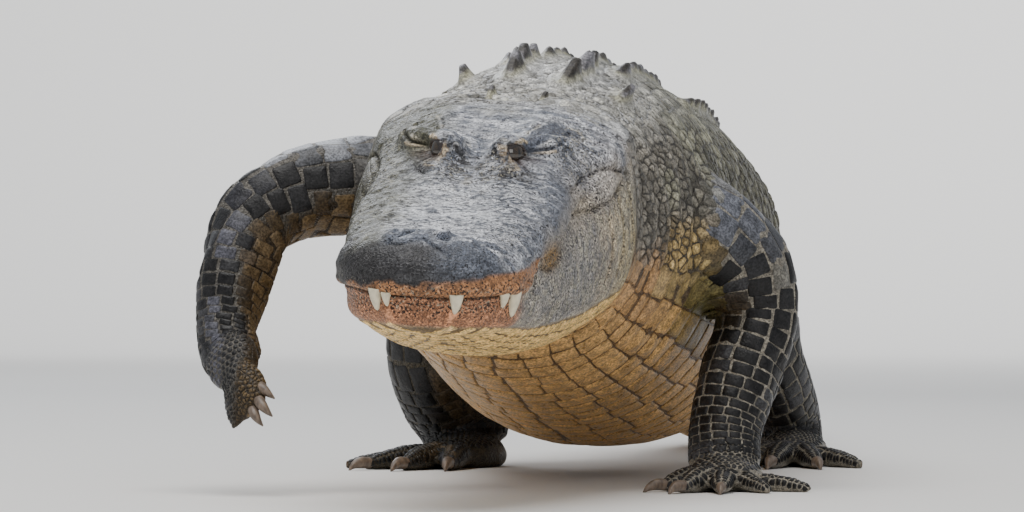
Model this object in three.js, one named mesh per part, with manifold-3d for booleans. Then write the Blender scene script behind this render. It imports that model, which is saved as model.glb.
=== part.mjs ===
// American alligator, a large adult male about 3.6 m long, life-size, caught in mid step.
// Millimetres, +Z up. The head points to -Y and the tail to +Y, and the animal's left side is +X.
// Three feet and the tail rest on the plane z = 0, and the right forefoot hangs above it.
import * as THREE from "three";
import { ConvexGeometry } from "three/addons/geometries/ConvexGeometry.js";
import { mergeVertices } from "three/addons/utils/BufferGeometryUtils.js";
import Module from "manifold-3d";

const wasm = await Module();
wasm.setup();
const radians = THREE.MathUtils.degToRad;

// Driving dimensions
const GAP = 0.3; // between neighbours that meet face to face
const ORIGIN = [30, -1007, 0]; // moves the animal so that the frame's origin lies below its middle
const SCUTE_SEED = 7; // for the small differences between one scute and the next

// Where the body is divided, along y
const NECK_START = -288;
const TORSO_START = -62;
const TAIL_START = 960;
const TAIL_MIDDLE = 1440;
const TAIL_END = 2060;
const TAIL_TIP = 2790;

// The head's place: its own origin lies at lip level below the rear edge of the skull table.
const OCCIPUT = [-20, -292, 331];
const HEAD_PITCH = 11; // degrees, nose down
const HEAD_YAW = 2.4; // degrees, nose to the animal's right
const HEAD_ROLL = 3.5; // degrees, right side up

// The body's sections from the neck to the tail's tip. x and z place the section's middle, wide is its
// half width, up and down its reach above and below the middle, top and bottom the powers that make it
// squarer, and roll its turn in degrees, right side up.
const BODY = [
  { y: -400, x: -24, z: 318, wide: 140, up: 112, down: 112, top: 2.2, bottom: 2.2, roll: 4 },
  { y: -290, x: -20, z: 320, wide: 157, up: 130, down: 130, top: 2.1, bottom: 2.2, roll: 5 },
  { y: -200, x: -15, z: 318, wide: 168, up: 158, down: 166, top: 2.1, bottom: 2.1, roll: 7 },
  { y: -60, x: -4, z: 312, wide: 190, up: 196, down: 202, top: 2.1, bottom: 2.1, roll: 7 },
  { y: 100, x: 6, z: 300, wide: 208, up: 220, down: 222, top: 2.15, bottom: 2.1, roll: 6 },
  { y: 300, x: 14, z: 282, wide: 222, up: 222, down: 236, top: 2.2, bottom: 2.2, roll: 4 },
  { y: 520, x: 12, z: 268, wide: 226, up: 212, down: 228, top: 2.25, bottom: 2.3, roll: 2 },
  { y: 730, x: 4, z: 276, wide: 200, up: 180, down: 200, top: 2.3, bottom: 2.2, roll: 1 },
  { y: 900, x: 0, z: 286, wide: 156, up: 146, down: 160, top: 2.4, bottom: 2.1, roll: 0 },
  { y: 1080, x: 0, z: 264, wide: 124, up: 130, down: 136, top: 2.6, bottom: 2.1, roll: 0 },
  { y: 1300, x: 8, z: 202, wide: 100, up: 116, down: 124, top: 2.6, bottom: 2.1, roll: 0 },
  { y: 1540, x: 26, z: 136, wide: 80, up: 102, down: 114, top: 2.6, bottom: 2.2, roll: 0 },
  { y: 1800, x: 48, z: 94, wide: 62, up: 84, down: 95, top: 2.5, bottom: 2.4, roll: 0 },
  { y: 2100, x: 52, z: 68, wide: 44, up: 66, down: 70, top: 2.3, bottom: 2.4, roll: 0 },
  { y: 2450, x: 20, z: 45, wide: 26, up: 44, down: 47, top: 2.2, bottom: 2.4, roll: 0 },
  { y: 2800, x: -52, z: 18, wide: 9, up: 14, down: 20, top: 2.1, bottom: 2.4, roll: 0 },
];
const BODY_RINGS = 48;
const BODY_SIDES = 24;

// The head's stations, f forwards from the rear edge of the skull table. top is the height of the roof's
// middle and flat the half width of its flat, wide the half width at cheek height and edge at the lip,
// round the power of the slope between them, lip the height of the mouth line, and jaw and chin the half
// width and depth of the lower jaw.
const HEAD = [
  { f: -90, top: 126, flat: 60, wide: 148, edge: 150, round: 1.5, lip: 64, jaw: 154, chin: -138 },
  { f: -20, top: 120, flat: 54, wide: 150, edge: 153, round: 1.35, lip: 64, jaw: 163, chin: -138 },
  { f: 20, top: 117, flat: 50, wide: 142, edge: 138, round: 1.3, lip: 61, jaw: 165, chin: -138 },
  { f: 70, top: 110, flat: 48, wide: 127, edge: 117, round: 1.35, lip: 56, jaw: 159, chin: -138 },
  { f: 122, top: 96, flat: 48, wide: 119, edge: 111, round: 1.6, lip: 49, jaw: 149, chin: -136 },
  { f: 180, top: 85, flat: 40, wide: 116, edge: 110, round: 1.9, lip: 38, jaw: 138, chin: -130 },
  { f: 240, top: 73, flat: 34, wide: 117, edge: 113, round: 2.1, lip: 26, jaw: 128, chin: -117 },
  { f: 290, top: 66, flat: 34, wide: 117, edge: 113, round: 2.2, lip: 17, jaw: 119, chin: -100 },
  { f: 340, top: 60, flat: 36, wide: 109, edge: 102, round: 2.3, lip: 15, jaw: 109, chin: -82 },
  { f: 375, top: 57, flat: 38, wide: 107, edge: 101, round: 2.3, lip: -6, jaw: 100, chin: -67 },
  { f: 410, top: 55, flat: 36, wide: 107, edge: 101, round: 2.3, lip: -10, jaw: 95, chin: -60 },
  { f: 440, top: 53, flat: 30, wide: 97, edge: 91, round: 2.2, lip: -6, jaw: 84, chin: -54 },
  { f: 462, top: 47, flat: 20, wide: 80, edge: 73, round: 2.1, lip: -4, jaw: 66, chin: -46 },
  { f: 480, top: 37, flat: 10, wide: 54, edge: 48, round: 2, lip: -4, jaw: 42, chin: -36 },
  { f: 487, top: 27, flat: 5, wide: 36, edge: 32, round: 2, lip: -4, jaw: 27, chin: -29 },
  { f: 490, top: 12, flat: 1, wide: 12, edge: 10, round: 2, lip: -4, jaw: 9, chin: -20 },
];
const HEAD_REAR = -85;
const HEAD_FRONT = 490;
const HEAD_RINGS = 26;
const UPPER_SIDES = 28;
const LOWER_SIDES = 20;
const JAW_SETBACK = 0.68; // how much shorter the lower jaw's tip is than the upper one's
const JAW_TIP_START = 462;
const FLAT_SHARE = 0.3; // the part of a quarter section that runs over the flat roof
const CHEEK = 0.32; // the cheek's height between lip and roof
const WAIST = 0.4; // how far down the lower jaw is widest
const JAW_POWER = 2.4; // how square the lower jaw is below

// Soft hills on the roof of the head: f forwards and x to either side, with height and spreads.
const HILLS = [
  { f: 132, x: 40, high: 20, long: 34, across: 17 }, // over the eyes
  { f: 96, x: 74, high: 10, long: 30, across: 18 }, // behind them
  { f: 45, x: 64, high: 5, long: 60, across: 22 }, // edges of the skull table
  { f: 190, x: 36, high: 6, long: 42, across: 14 }, // ridges in front of the eyes
  { f: 436, x: 0, high: 8, long: 24, across: 40 }, // the nostrils' disc
];
const EYE = { f: 140, x: 36, z: 96, radius: 18, lid: 4.5 };
const EYE_GAZE = { out: 0.8, ahead: 0.6, up: 0.1 }; // where each eye looks
const EYE_OPENING = { wide: 14, high: 10, tilt: 40 }; // half sizes and slant of the lids' opening
const LID = { f: 108, x: 72, z: 97, long: 46, across: 20, high: 17, turn: 33 }; // swelling behind the eye
const NOSTRIL_MIDDLE = -6;
const NOSTRIL = { f: 444, x: 21, z: 57, long: 15, across: 4.5, deep: 8, turn: 28 };
const EAR = { f: 62, x: 96, z: 104, long: 34, across: 4, deep: 5, turn: -20 };
const UPPER_TEETH = [
  // the teeth that show: side, f, how far they reach below the lip and half their thickness there
  { hand: -1, f: 476, long: 19, thick: 7 },
  { hand: -1, f: 484, long: 12, thick: 4.5 },
  { hand: 1, f: 482, long: 17, thick: 6.3 },
  { hand: 1, f: 443, long: 13, thick: 5 },
  { hand: 1, f: 424, long: 24, thick: 7.5 },
];
const TOOTH_ROOT = 0.35; // how far a tooth goes up into the lip, against its length below
const TOOTH_FLARE = 1.25; // a tooth's thickness at its root against that at the lip

// Limbs: stations from the body to the foot, with the half thickness a from side to side and b from front
// to back.
const LEFT_ARM = [
  { x: 96, y: -10, z: 318, a: 84, b: 72 },
  { x: 172, y: 20, z: 308, a: 76, b: 68 },
  { x: 236, y: 58, z: 262, a: 60, b: 58 },
  { x: 252, y: 64, z: 208, a: 49, b: 48 },
  { x: 234, y: 34, z: 140, a: 49, b: 43 },
  { x: 219, y: -6, z: 70, a: 43, b: 34 },
  { x: 220, y: -26, z: 26, a: 44, b: 32 },
];
const RIGHT_ARM = [
  { x: -100, y: -20, z: 352, a: 84, b: 70 },
  { x: -196, y: -60, z: 362, a: 62, b: 58 },
  { x: -280, y: -96, z: 356, a: 53, b: 52 },
  { x: -332, y: -124, z: 320, a: 48, b: 48 },
  { x: -352, y: -152, z: 252, a: 43, b: 42 },
  { x: -356, y: -186, z: 188, a: 35, b: 31 },
  { x: -345, y: -212, z: 154, a: 36, b: 24 },
];
const RIGHT_LEG = [
  { x: -84, y: 842, z: 292, a: 92, b: 112 },
  { x: -166, y: 774, z: 256, a: 86, b: 92 },
  { x: -222, y: 712, z: 208, a: 76, b: 70 },
  { x: -232, y: 706, z: 152, a: 68, b: 60 },
  { x: -222, y: 738, z: 102, a: 68, b: 55 },
  { x: -208, y: 766, z: 60, a: 62, b: 46 },
  { x: -198, y: 758, z: 26, a: 54, b: 36 },
];
const LEFT_LEG = [
  { x: 78, y: 886, z: 290, a: 86, b: 112 },
  { x: 136, y: 842, z: 254, a: 78, b: 92 },
  { x: 172, y: 808, z: 206, a: 66, b: 70 },
  { x: 186, y: 820, z: 152, a: 56, b: 58 },
  { x: 206, y: 860, z: 102, a: 48, b: 52 },
  { x: 218, y: 900, z: 58, a: 43, b: 44 },
  { x: 220, y: 892, z: 26, a: 46, b: 36 },
];
const LIMB_RINGS = 5;
const LIMB_SIDES = 14;
const ELBOW = 3 / 6; // along the limb, where upper and lower limb meet
const WRIST = 5.3 / 6;
const LAP = 0.05; // how far a stretch of limb reaches past the plane that cuts it

// Feet, in their own frames: toes point forwards, turned outwards by turn, long from the middle of the palm.
const FORE_TOES = [
  { turn: -58, long: 90, thick: 14, claw: 27 },
  { turn: -30, long: 112, thick: 14, claw: 28 },
  { turn: -4, long: 116, thick: 13, claw: 24 },
  { turn: 26, long: 112, thick: 11, claw: 0 },
  { turn: 60, long: 116, thick: 10, claw: 0 },
];
const HIND_TOES = [
  { turn: -22, long: 150, thick: 16, claw: 29 },
  { turn: -2, long: 172, thick: 16, claw: 30 },
  { turn: 18, long: 176, thick: 15, claw: 27 },
  { turn: 40, long: 168, thick: 12, claw: 0 },
];

const FORE_FOOT = { wide: 46, long: 46, high: 30, arch: 1.35 };
const HIND_FOOT = { wide: 48, long: 74, high: 32, arch: 1.3 };
const HANGING_FOOT = { wide: 34, long: 48, high: 22, arch: 1.35 };
const HANGING = { spread: 0.3, reach: 0.84 }; // the lifted foot's toes against those of a foot on the ground
// Where each foot lies, where its toes point and which way its back faces
const FOOT_PLACES = {
  leftArm: { at: [224, -52, -3], ahead: [0.12, -1, 0], up: [0, 0, 1] },
  rightArm: { at: [-332, -236, 150], ahead: [0.36, -0.72, -0.6], up: [-0.55, -0.68, 0.48] },
  rightLeg: { at: [-196, 712, -3], ahead: [-0.42, -1, 0], up: [0, 0, 1] },
  leftLeg: { at: [228, 852, -3], ahead: [-0.05, -1, 0], up: [0, 0, 1] },
};

// Back armour
const ROW_STEP = 56; // from one row of scutes to the next
const SCUTE = { wide: 50, long: 58, high: 14, thick: 3, sunk: 5, blunt: 0 };
const NUCHAL = { ...SCUTE, blunt: 0.22 }; // blunt is the keel's thickness at its peak against the width
const SCUTE_SPACING = 45; // from one scute to the next across the back
const WIDE_ROWS = { from: 60, to: 720 }; // where a row is six scutes wide
const NUCHALS = [
  // the high plates on the nape: y, sideways place, and size against an ordinary scute
  { y: -250, side: 30, size: 0.62 },
  { y: -236, side: 84, size: 0.62 },
  { y: -138, side: 32, size: 1.25 },
  { y: -84, side: 36, size: 1.25 },
  { y: -112, side: 92, size: 0.95 },
  { y: -36, side: 34, size: 1.0 },
];

const CREST = { joins: 1760, step: 52, high: 42, long: 56, thick: 8, apart: 62 };

// A smooth curve through (xs, ys) that never overshoots its points.
function curve(xs, ys) {
  const last = xs.length - 1;
  const rise = xs.slice(1).map((x, i) => (ys[i + 1] - ys[i]) / (x - xs[i]));
  const slope = ys.map((_, i) => {
    const before = rise[Math.max(0, i - 1)];
    const after = rise[Math.min(last - 1, i)];
    return before * after <= 0 ? 0 : (2 * before * after) / (before + after);
  });
  return (x) => {
    let i = 0;
    while (i < last - 1 && x > xs[i + 1]) i++;
    const span = xs[i + 1] - xs[i];
    const t = Math.min(1, Math.max(0, (x - xs[i]) / span));
    const rest = 1 - t;
    return (
      rest * rest * ((1 + 2 * t) * ys[i] + t * span * slope[i]) +
      t * t * ((3 - 2 * t) * ys[i + 1] - rest * span * slope[i + 1])
    );
  };
}

// A curve for each column of a table of stations, read at the column named key.
function tracks(rows, key) {
  const at = rows.map((row) => row[key]);
  return Object.fromEntries(
    Object.keys(rows[0]).map((name) => [name, curve(at, rows.map((row) => row[name]))]),
  );
}

const power = (v, p) => Math.sign(v) * Math.abs(v) ** p;

// Numbers between 0 and 1 that are the same each time.
let seed = SCUTE_SEED;
function random() {
  seed = (seed * 16807) % 2147483647;
  return seed / 2147483647;
}

// A closed geometry as a solid, its vertices merged and its faces turned outwards.
function solid(geometry, matrix) {
  const bare = geometry.index ? geometry.toNonIndexed() : geometry.clone();
  if (matrix) bare.applyMatrix4(matrix);
  bare.deleteAttribute("normal");
  bare.deleteAttribute("uv");
  const merged = mergeVertices(bare, 1e-3);
  const corners = merged.index.array;
  const faces = [];
  for (let i = 0; i < corners.length; i += 3) {
    const [a, b, c] = corners.slice(i, i + 3);
    if (a !== b && b !== c && a !== c) faces.push([a, b, c]);
  }
  const vertProperties = new Float32Array(merged.attributes.position.array);
  const make = (list) =>
    new wasm.Manifold(new wasm.Mesh({ numProp: 3, vertProperties, triVerts: new Uint32Array(list.flat()) }));
  const made = make(faces);
  return made.volume() > 0 ? made : make(faces.map(([a, b, c]) => [b, a, c]));
}

const union = (...solids) => wasm.Manifold.union(solids.flat());

// A node keeps only its largest closed surface.
function largest(made) {
  const pieces = made.decompose();
  return pieces.reduce((best, piece) => (piece.volume() > best.volume() ? piece : best));
}

// Everything below z = 0 is cut off, which leaves small flats for the part to rest on.
const onFloor = (made) => made.trimByPlane([0, 0, 1], 0);

// A closed surface through rings of points: pointAt(t, angle) gives ring t, from 0 to 1, at an angle, and
// centreAt(t) the middle of each end.
function loft(pointAt, centreAt, rings, sides) {
  const g = new THREE.CylinderGeometry(1, 1, 1, sides, rings);
  const p = g.attributes.position;
  for (let i = 0; i < p.count; i++) {
    const t = Math.round((0.5 - p.getY(i)) * rings) / rings;
    const onAxis = Math.hypot(p.getX(i), p.getZ(i)) < 0.5;
    const step = Math.round((Math.atan2(p.getX(i), p.getZ(i)) / (2 * Math.PI)) * sides);
    const angle = (((step + sides) % sides) / sides) * 2 * Math.PI;
    p.setXYZ(i, ...(onAxis ? centreAt(t) : pointAt(t, angle)));
  }
  return solid(g);
}

// The body is one closed surface, parted afterwards by planes across y.
const body = tracks(BODY, "y");

// The surface at y, with angle 0 on the back and a quarter turn on the left side, grown outwards by grow.
function bodyPoint(y, angle, grow = 0) {
  const s = Math.sin(angle);
  const c = Math.cos(angle);
  const p = 2 / (c > 0 ? body.top(y) : body.bottom(y));
  const across = (body.wide(y) + grow) * power(s, p);
  const high = ((c > 0 ? body.up(y) : body.down(y)) + grow) * power(c, p);
  const turn = radians(body.roll(y));
  return [
    body.x(y) + across * Math.cos(turn) + high * Math.sin(turn),
    y,
    body.z(y) + high * Math.cos(turn) - across * Math.sin(turn),
  ];
}

function wholeBody(grow = 0) {
  const first = BODY[0].y;
  const y = (t) => first + (TAIL_TIP - first) * t ** 1.12;
  const middle = (t) => [body.x(y(t)), y(t), body.z(y(t))];
  return loft((t, angle) => bodyPoint(y(t), angle, grow), middle, BODY_RINGS, BODY_SIDES);
}

const trunk = wholeBody();
const trunkGrown = wholeBody(GAP);
const between = (made, from, to) =>
  made.trimByPlane([0, 1, 0], from + GAP / 2).trimByPlane([0, -1, 0], -to + GAP / 2);

// Scutes: low plates with a keel, rooted in the skin
function surfaceFrame(y, side) {
  const wide = body.wide(y);
  const share = Math.min(0.999, Math.abs(side) / wide);
  const angle = Math.asin(power(share, body.top(y) / 2)) * Math.sign(side || 1);
  const at = new THREE.Vector3(...bodyPoint(y, angle));
  const back = new THREE.Vector3(...bodyPoint(y + 5, angle)).sub(at).normalize();
  const left = new THREE.Vector3(...bodyPoint(y, angle + 0.05)).sub(at).normalize();
  const out = new THREE.Vector3().crossVectors(left, back).normalize();
  const across = new THREE.Vector3().crossVectors(back, out);
  return new THREE.Matrix4().makeBasis(across, back, out).setPosition(at);
}

// A scute's base, in parts of its half width and half length, wider towards the tail.
const RIM = [
  [0.55, -1],
  [1, -0.1],
  [0.7, 1],
  [-0.7, 1],
  [-1, -0.1],
  [-0.55, -1],
];

function scute(y, side, size, shape = SCUTE) {
  const w = (shape.wide * size) / 2;
  const l = (shape.long * size) / 2;
  const peak = shape.high * size * (0.85 + 0.3 * random());
  const points = RIM.map(([x, along]) => new THREE.Vector3(x * w, along * l, -shape.sunk));
  for (const hand of [-1, 1]) {
    points.push(new THREE.Vector3(hand * 0.55 * w, 0.3 * l, shape.thick * size));
    const ridge = new THREE.Vector3(hand * shape.blunt * w, 0.75 * l, shape.thick + peak);
    if (shape.blunt || hand > 0) points.push(ridge);
  }
  points.push(new THREE.Vector3(0, -0.55 * l, shape.thick + peak * 0.6));
  return solid(new ConvexGeometry(points), surfaceFrame(y, side));
}

function napeScutes() {
  return NUCHALS.flatMap(({ y, side, size }) =>
    [-1, 1].map((hand) => scute(y + 5 * random(), hand * side, size, NUCHAL)),
  );
}

// Rows across the back: six scutes abreast on the trunk, four over the shoulders and the hips.
function backScutes(from, to) {
  const made = [];
  for (let y = from; y < to; y += ROW_STEP) {
    const abreast = y > WIDE_ROWS.to || y < WIDE_ROWS.from ? 4 : 6;
    for (let k = 0; k < abreast; k++) {
      const side = (k - (abreast - 1) / 2) * SCUTE_SPACING;
      const outermost = Math.abs(side) > 2 * SCUTE_SPACING;
      const place = y + 5 * random() + (outermost ? ROW_STEP / 2 : 0);
      made.push(scute(place, side * (outermost ? 1.15 : 1), outermost ? 0.8 : 1));
    }
  }
  return made;
}

// The tail's crest: two rows of blades that meet at CREST.joins and go on as one.
const taper = (y) => Math.min(1, body.up(y) / body.up(TAIL_START + 200));

function crest(from, to) {
  const made = [];
  for (let y = from; y < to; y += CREST.step) {
    const apart = CREST.apart * Math.max(0, (CREST.joins - y) / (CREST.joins - TAIL_START));
    const rise = CREST.high * Math.min(1, 0.5 + (y - TAIL_START) / 800) * Math.min(1, 0.25 + taper(y));
    const hands = y < CREST.joins ? [-1, 1] : [0];
    for (const hand of hands) made.push(blade(y, hand * (apart + CREST.thick), rise));
  }
  return made;
}

function blade(y, side, rise) {
  const l = (CREST.long * (0.5 + 0.5 * taper(y))) / 2;
  const points = [
    new THREE.Vector3(0, -l, -SCUTE.sunk),
    new THREE.Vector3(CREST.thick * taper(y) ** 0.5, 0, -SCUTE.sunk),
    new THREE.Vector3(-CREST.thick * taper(y) ** 0.5, 0, -SCUTE.sunk),
    new THREE.Vector3(0, l, -SCUTE.sunk),
    new THREE.Vector3(0, 0.45 * l, rise * (0.9 + 0.2 * random())),
    new THREE.Vector3(0, l, rise * 0.6),
  ];
  return solid(new ConvexGeometry(points), surfaceFrame(y, side));
}

// The head
const headMatrix = new THREE.Matrix4()
  .makeRotationFromEuler(new THREE.Euler(radians(HEAD_PITCH), radians(HEAD_ROLL), radians(-HEAD_YAW), "ZXY"))
  .setPosition(...OCCIPUT);
const headPoint = (x, f, z) => new THREE.Vector3(x, -f, z).applyMatrix4(headMatrix).toArray();
const head = tracks(HEAD, "f");

const hill = (f, x) =>
  HILLS.reduce((sum, h) => {
    const away = (Math.abs(x) - h.x) / h.across;
    return sum + h.high * Math.exp(-(((f - h.f) / h.long) ** 2) - away * away);
  }, 0);

// Rings lie closer together towards the tip of the snout.
const headF = (t) => HEAD_REAR + (HEAD_FRONT - HEAD_REAR) * Math.sin((t * Math.PI) / 2) ** 0.9;

function upperSection(f, a) {
  const low = head.lip(f) + GAP / 2;
  const cheek = low + CHEEK * (head.top(f) - low);
  const wide = head.wide(f);
  const flat = head.flat(f);
  const quarter = a / (Math.PI / 2);
  if (quarter <= FLAT_SHARE) {
    const x = (flat * quarter) / FLAT_SHARE;
    return [x, head.top(f) + hill(f, x)];
  }
  if (quarter <= 1) {
    const u = (((quarter - FLAT_SHARE) / (1 - FLAT_SHARE)) * Math.PI) / 2;
    const x = flat + (wide - flat) * Math.sin(u) ** (2 / head.round(f));
    const z = cheek + (head.top(f) - cheek) * Math.max(0, Math.cos(u)) ** (2 / head.round(f));
    return [x, z + hill(f, x) * Math.max(0, Math.cos(u))];
  }
  if (quarter <= 1.5) {
    const u = (quarter - 1) * Math.PI;
    return [wide + (head.edge(f) - wide) * (1 - Math.cos(u)), cheek + (low - cheek) * Math.sin(u)];
  }
  return [head.edge(f) * (2 - quarter) * 2, low];
}

function lowerSection(f, a) {
  const high = head.lip(f) - GAP / 2;
  const edge = Math.min(head.edge(f) - 3, head.jaw(f) * 0.97);
  const waist = high + WAIST * (head.chin(f) - high);
  const quarter = a / (Math.PI / 2);
  if (quarter <= 0.5) return [edge * quarter * 2, high];
  if (quarter <= 1) {
    const u = (quarter - 0.5) * Math.PI;
    return [edge + (head.jaw(f) - edge) * Math.sin(u), high + (waist - high) * (1 - Math.cos(u))];
  }
  const u = ((quarter - 1) * Math.PI) / 2;
  const bend = 2 / JAW_POWER;
  const x = head.jaw(f) * Math.max(0, Math.cos(u)) ** bend;
  return [x, waist + (head.chin(f) - waist) * Math.sin(u) ** bend];
}

function headSide(section, f, angle) {
  const hand = angle > Math.PI ? -1 : 1;
  const [x, z] = section(f, hand > 0 ? angle : 2 * Math.PI - angle);
  return headPoint(hand * x, f, z);
}

// The lower jaw's rings lie in the upper one's planes, up to its tip, which is set back.
function lowerF(t) {
  const f = headF(t);
  return f < JAW_TIP_START ? f : JAW_TIP_START + (f - JAW_TIP_START) * JAW_SETBACK;
}
const headLoft = (section, f, sides) =>
  loft(
    (t, angle) => headSide(section, f(t), angle),
    (t) => headPoint(0, f(t), (section(f(t), 0)[1] + section(f(t), Math.PI)[1]) / 2),
    HEAD_RINGS,
    sides,
  );

// Puts a geometry made round the origin, x to the left, y backwards and z up, at a place on the head.
function onHead(geometry, hand, { x, f, z }, turn = new THREE.Matrix4()) {
  const place = new THREE.Matrix4().makeTranslation(hand * x, -f, z).multiply(turn);
  return solid(geometry, headMatrix.clone().multiply(place));
}

const eyeball = (hand, grow = 0) => onHead(new THREE.SphereGeometry(EYE.radius + grow, 14, 8), hand, EYE);

// The socket's almond opening, a flat round bar along the eye's gaze.
function eyeOpening(hand) {
  const gaze = new THREE.Vector3(hand * EYE_GAZE.out, -EYE_GAZE.ahead, EYE_GAZE.up).normalize();
  const bar = new THREE.CylinderGeometry(1, 0.9, EYE.radius * 2, 14);
  bar.scale(EYE_OPENING.wide, 1, EYE_OPENING.high);
  bar.translate(0, EYE.radius, 0);
  const level = new THREE.Vector3().crossVectors(gaze, new THREE.Vector3(0, 0, 1)).normalize();
  level.applyAxisAngle(gaze, -hand * radians(EYE_OPENING.tilt));
  const upright = new THREE.Vector3().crossVectors(level, gaze);
  return onHead(bar, hand, EYE, new THREE.Matrix4().makeBasis(level, gaze, upright));
}

// The upper lid's long swelling, which runs outwards behind the eye
function lidSwelling(hand) {
  const swelling = new THREE.SphereGeometry(1, 14, 8).scale(LID.across, LID.long, LID.high);
  return onHead(swelling, hand, LID, new THREE.Matrix4().makeRotationZ(-hand * radians(LID.turn)));
}

function nostril(hand) {
  const pit = new THREE.SphereGeometry(1, 10, 6).scale(NOSTRIL.across, NOSTRIL.long, NOSTRIL.deep);
  const place = { ...NOSTRIL, x: NOSTRIL.x + hand * NOSTRIL_MIDDLE };
  return onHead(pit, hand, place, new THREE.Matrix4().makeRotationZ(hand * radians(NOSTRIL.turn)));
}

function earSlit(hand) {
  const slit = new THREE.SphereGeometry(1, 10, 6).scale(EAR.across, EAR.long, EAR.deep);
  return onHead(slit, hand, EAR, new THREE.Matrix4().makeRotationZ(hand * radians(EAR.turn)));
}

// A cone from inside the lip down to its point
function tooth({ hand, f, long, thick }, grow) {
  const cone = new THREE.ConeGeometry(thick * TOOTH_FLARE + grow, long * (1 + TOOTH_ROOT) + grow, 7);
  const z = head.lip(f) + (long * (TOOTH_ROOT - 1)) / 2;
  return onHead(cone.rotateX(-Math.PI / 2), hand, { x: head.edge(f) - thick * 0.75, f, z });
}
const teeth = (grow) => UPPER_TEETH.map((t) => tooth(t, grow));
const beforeNeck = (made) => made.trimByPlane([0, -1, 0], -NECK_START + GAP / 2);

function makeHead() {
  const hands = [-1, 1];
  const lids = hands.flatMap((hand) => [eyeball(hand, EYE.lid), lidSwelling(hand)]);
  const whole = union(headLoft(upperSection, headF, UPPER_SIDES), lids, teeth(0));
  const cuts = hands.flatMap((hand) => [eyeOpening(hand), eyeball(hand, GAP), nostril(hand), earSlit(hand)]);
  return largest(beforeNeck(whole.subtract(union(cuts))));
}
const makeLowerJaw = () =>
  largest(beforeNeck(headLoft(lowerSection, lowerF, LOWER_SIDES).subtract(union(teeth(GAP)))));

// A tube through stations, with frames that turn smoothly along it. facing is the side that counts as front.
// length gives a stretch of it, and before and after keep what lies on one side of the plane across it at t.
function tube(stations, sides, facing) {
  const last = stations.length - 1;
  const along = stations.map((_, i) => i);
  const a = curve(along, stations.map((s) => s.a));
  const b = curve(along, stations.map((s) => s.b));
  const path = new THREE.CatmullRomCurve3(stations.map((s) => new THREE.Vector3(s.x, s.y, s.z)));
  const face = new THREE.Vector3(...facing);
  const point = (t, angle) => {
    const run = path.getTangent(t);
    const across = new THREE.Vector3().crossVectors(run, face).normalize();
    const front = new THREE.Vector3().crossVectors(across, run);
    return path
      .getPoint(t)
      .addScaledVector(across, a(t * last) * Math.sin(angle))
      .addScaledVector(front, b(t * last) * Math.cos(angle))
      .toArray();
  };
  const keep = (made, t, way) => {
    const normal = path.getTangent(t).multiplyScalar(way);
    return made.trimByPlane(normal.toArray(), normal.dot(path.getPoint(t)) + GAP / 2);
  };
  return {
    length(from, to, rings) {
      const t = (s) => from + (to - from) * s;
      return loft((s, angle) => point(t(s), angle), (s) => path.getPoint(t(s)).toArray(), rings, sides);
    },
    before: (made, t) => keep(made, t, -1),
    after: (made, t) => keep(made, t, 1),
  };
}

// A foot in its own frame, toes towards -Y, resting on z = 0. hand is 1 for a left foot.
function footSolid(toes, hand, { wide, long, high, arch }) {
  const palm = new THREE.SphereGeometry(1, 10, 5).scale(wide, long, high).translate(0, 0, high * 0.55);
  const pieces = [solid(palm)];
  for (const { turn, long: reach, thick, claw } of toes) {
    const angle = radians(turn) * hand;
    const ahead = { x: Math.sin(angle), y: -Math.cos(angle) };
    const spot = (r, z, a, flatter = 1) => ({ x: ahead.x * r, y: ahead.y * r, z, a, b: a * flatter });
    const toe = [
      spot(long * 0.45, high * 0.55, thick * 1.2, 0.9),
      spot(reach * 0.5, thick * arch, thick * 1.1),
      spot(reach * 0.78, thick * 0.95, thick * 0.98),
      spot(reach, thick * 0.6, thick * 0.5),
    ];
    pieces.push(tube(toe, 6, [0, 0, 1]).length(0, 1, 3));
    if (!claw) continue;
    const nail = [
      spot(reach - 6, thick * 0.85, thick * 0.55),
      spot(reach + claw * 0.5, thick * 0.72, thick * 0.42),
      spot(reach + claw, thick * 0.2, 1.2),
    ];
    pieces.push(tube(nail, 5, [0, 0, 1]).length(0, 1, 2));
  }
  return union(pieces);
}

const HANGING_TOES = FORE_TOES.map(({ turn, long, thick, claw }) => ({
  turn: turn * HANGING.spread,
  long: long * HANGING.reach,
  thick,
  claw: claw * HANGING.reach,
}));

// A frame for a foot at a place, with its toes along ahead and its back up.
function footFrame({ at, ahead, up }) {
  const back = new THREE.Vector3(...ahead).normalize().negate();
  const left = new THREE.Vector3().crossVectors(back, new THREE.Vector3(...up)).normalize();
  const out = new THREE.Vector3().crossVectors(left, back);
  return new THREE.Matrix4().makeBasis(left, back, out).setPosition(...at);
}

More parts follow.
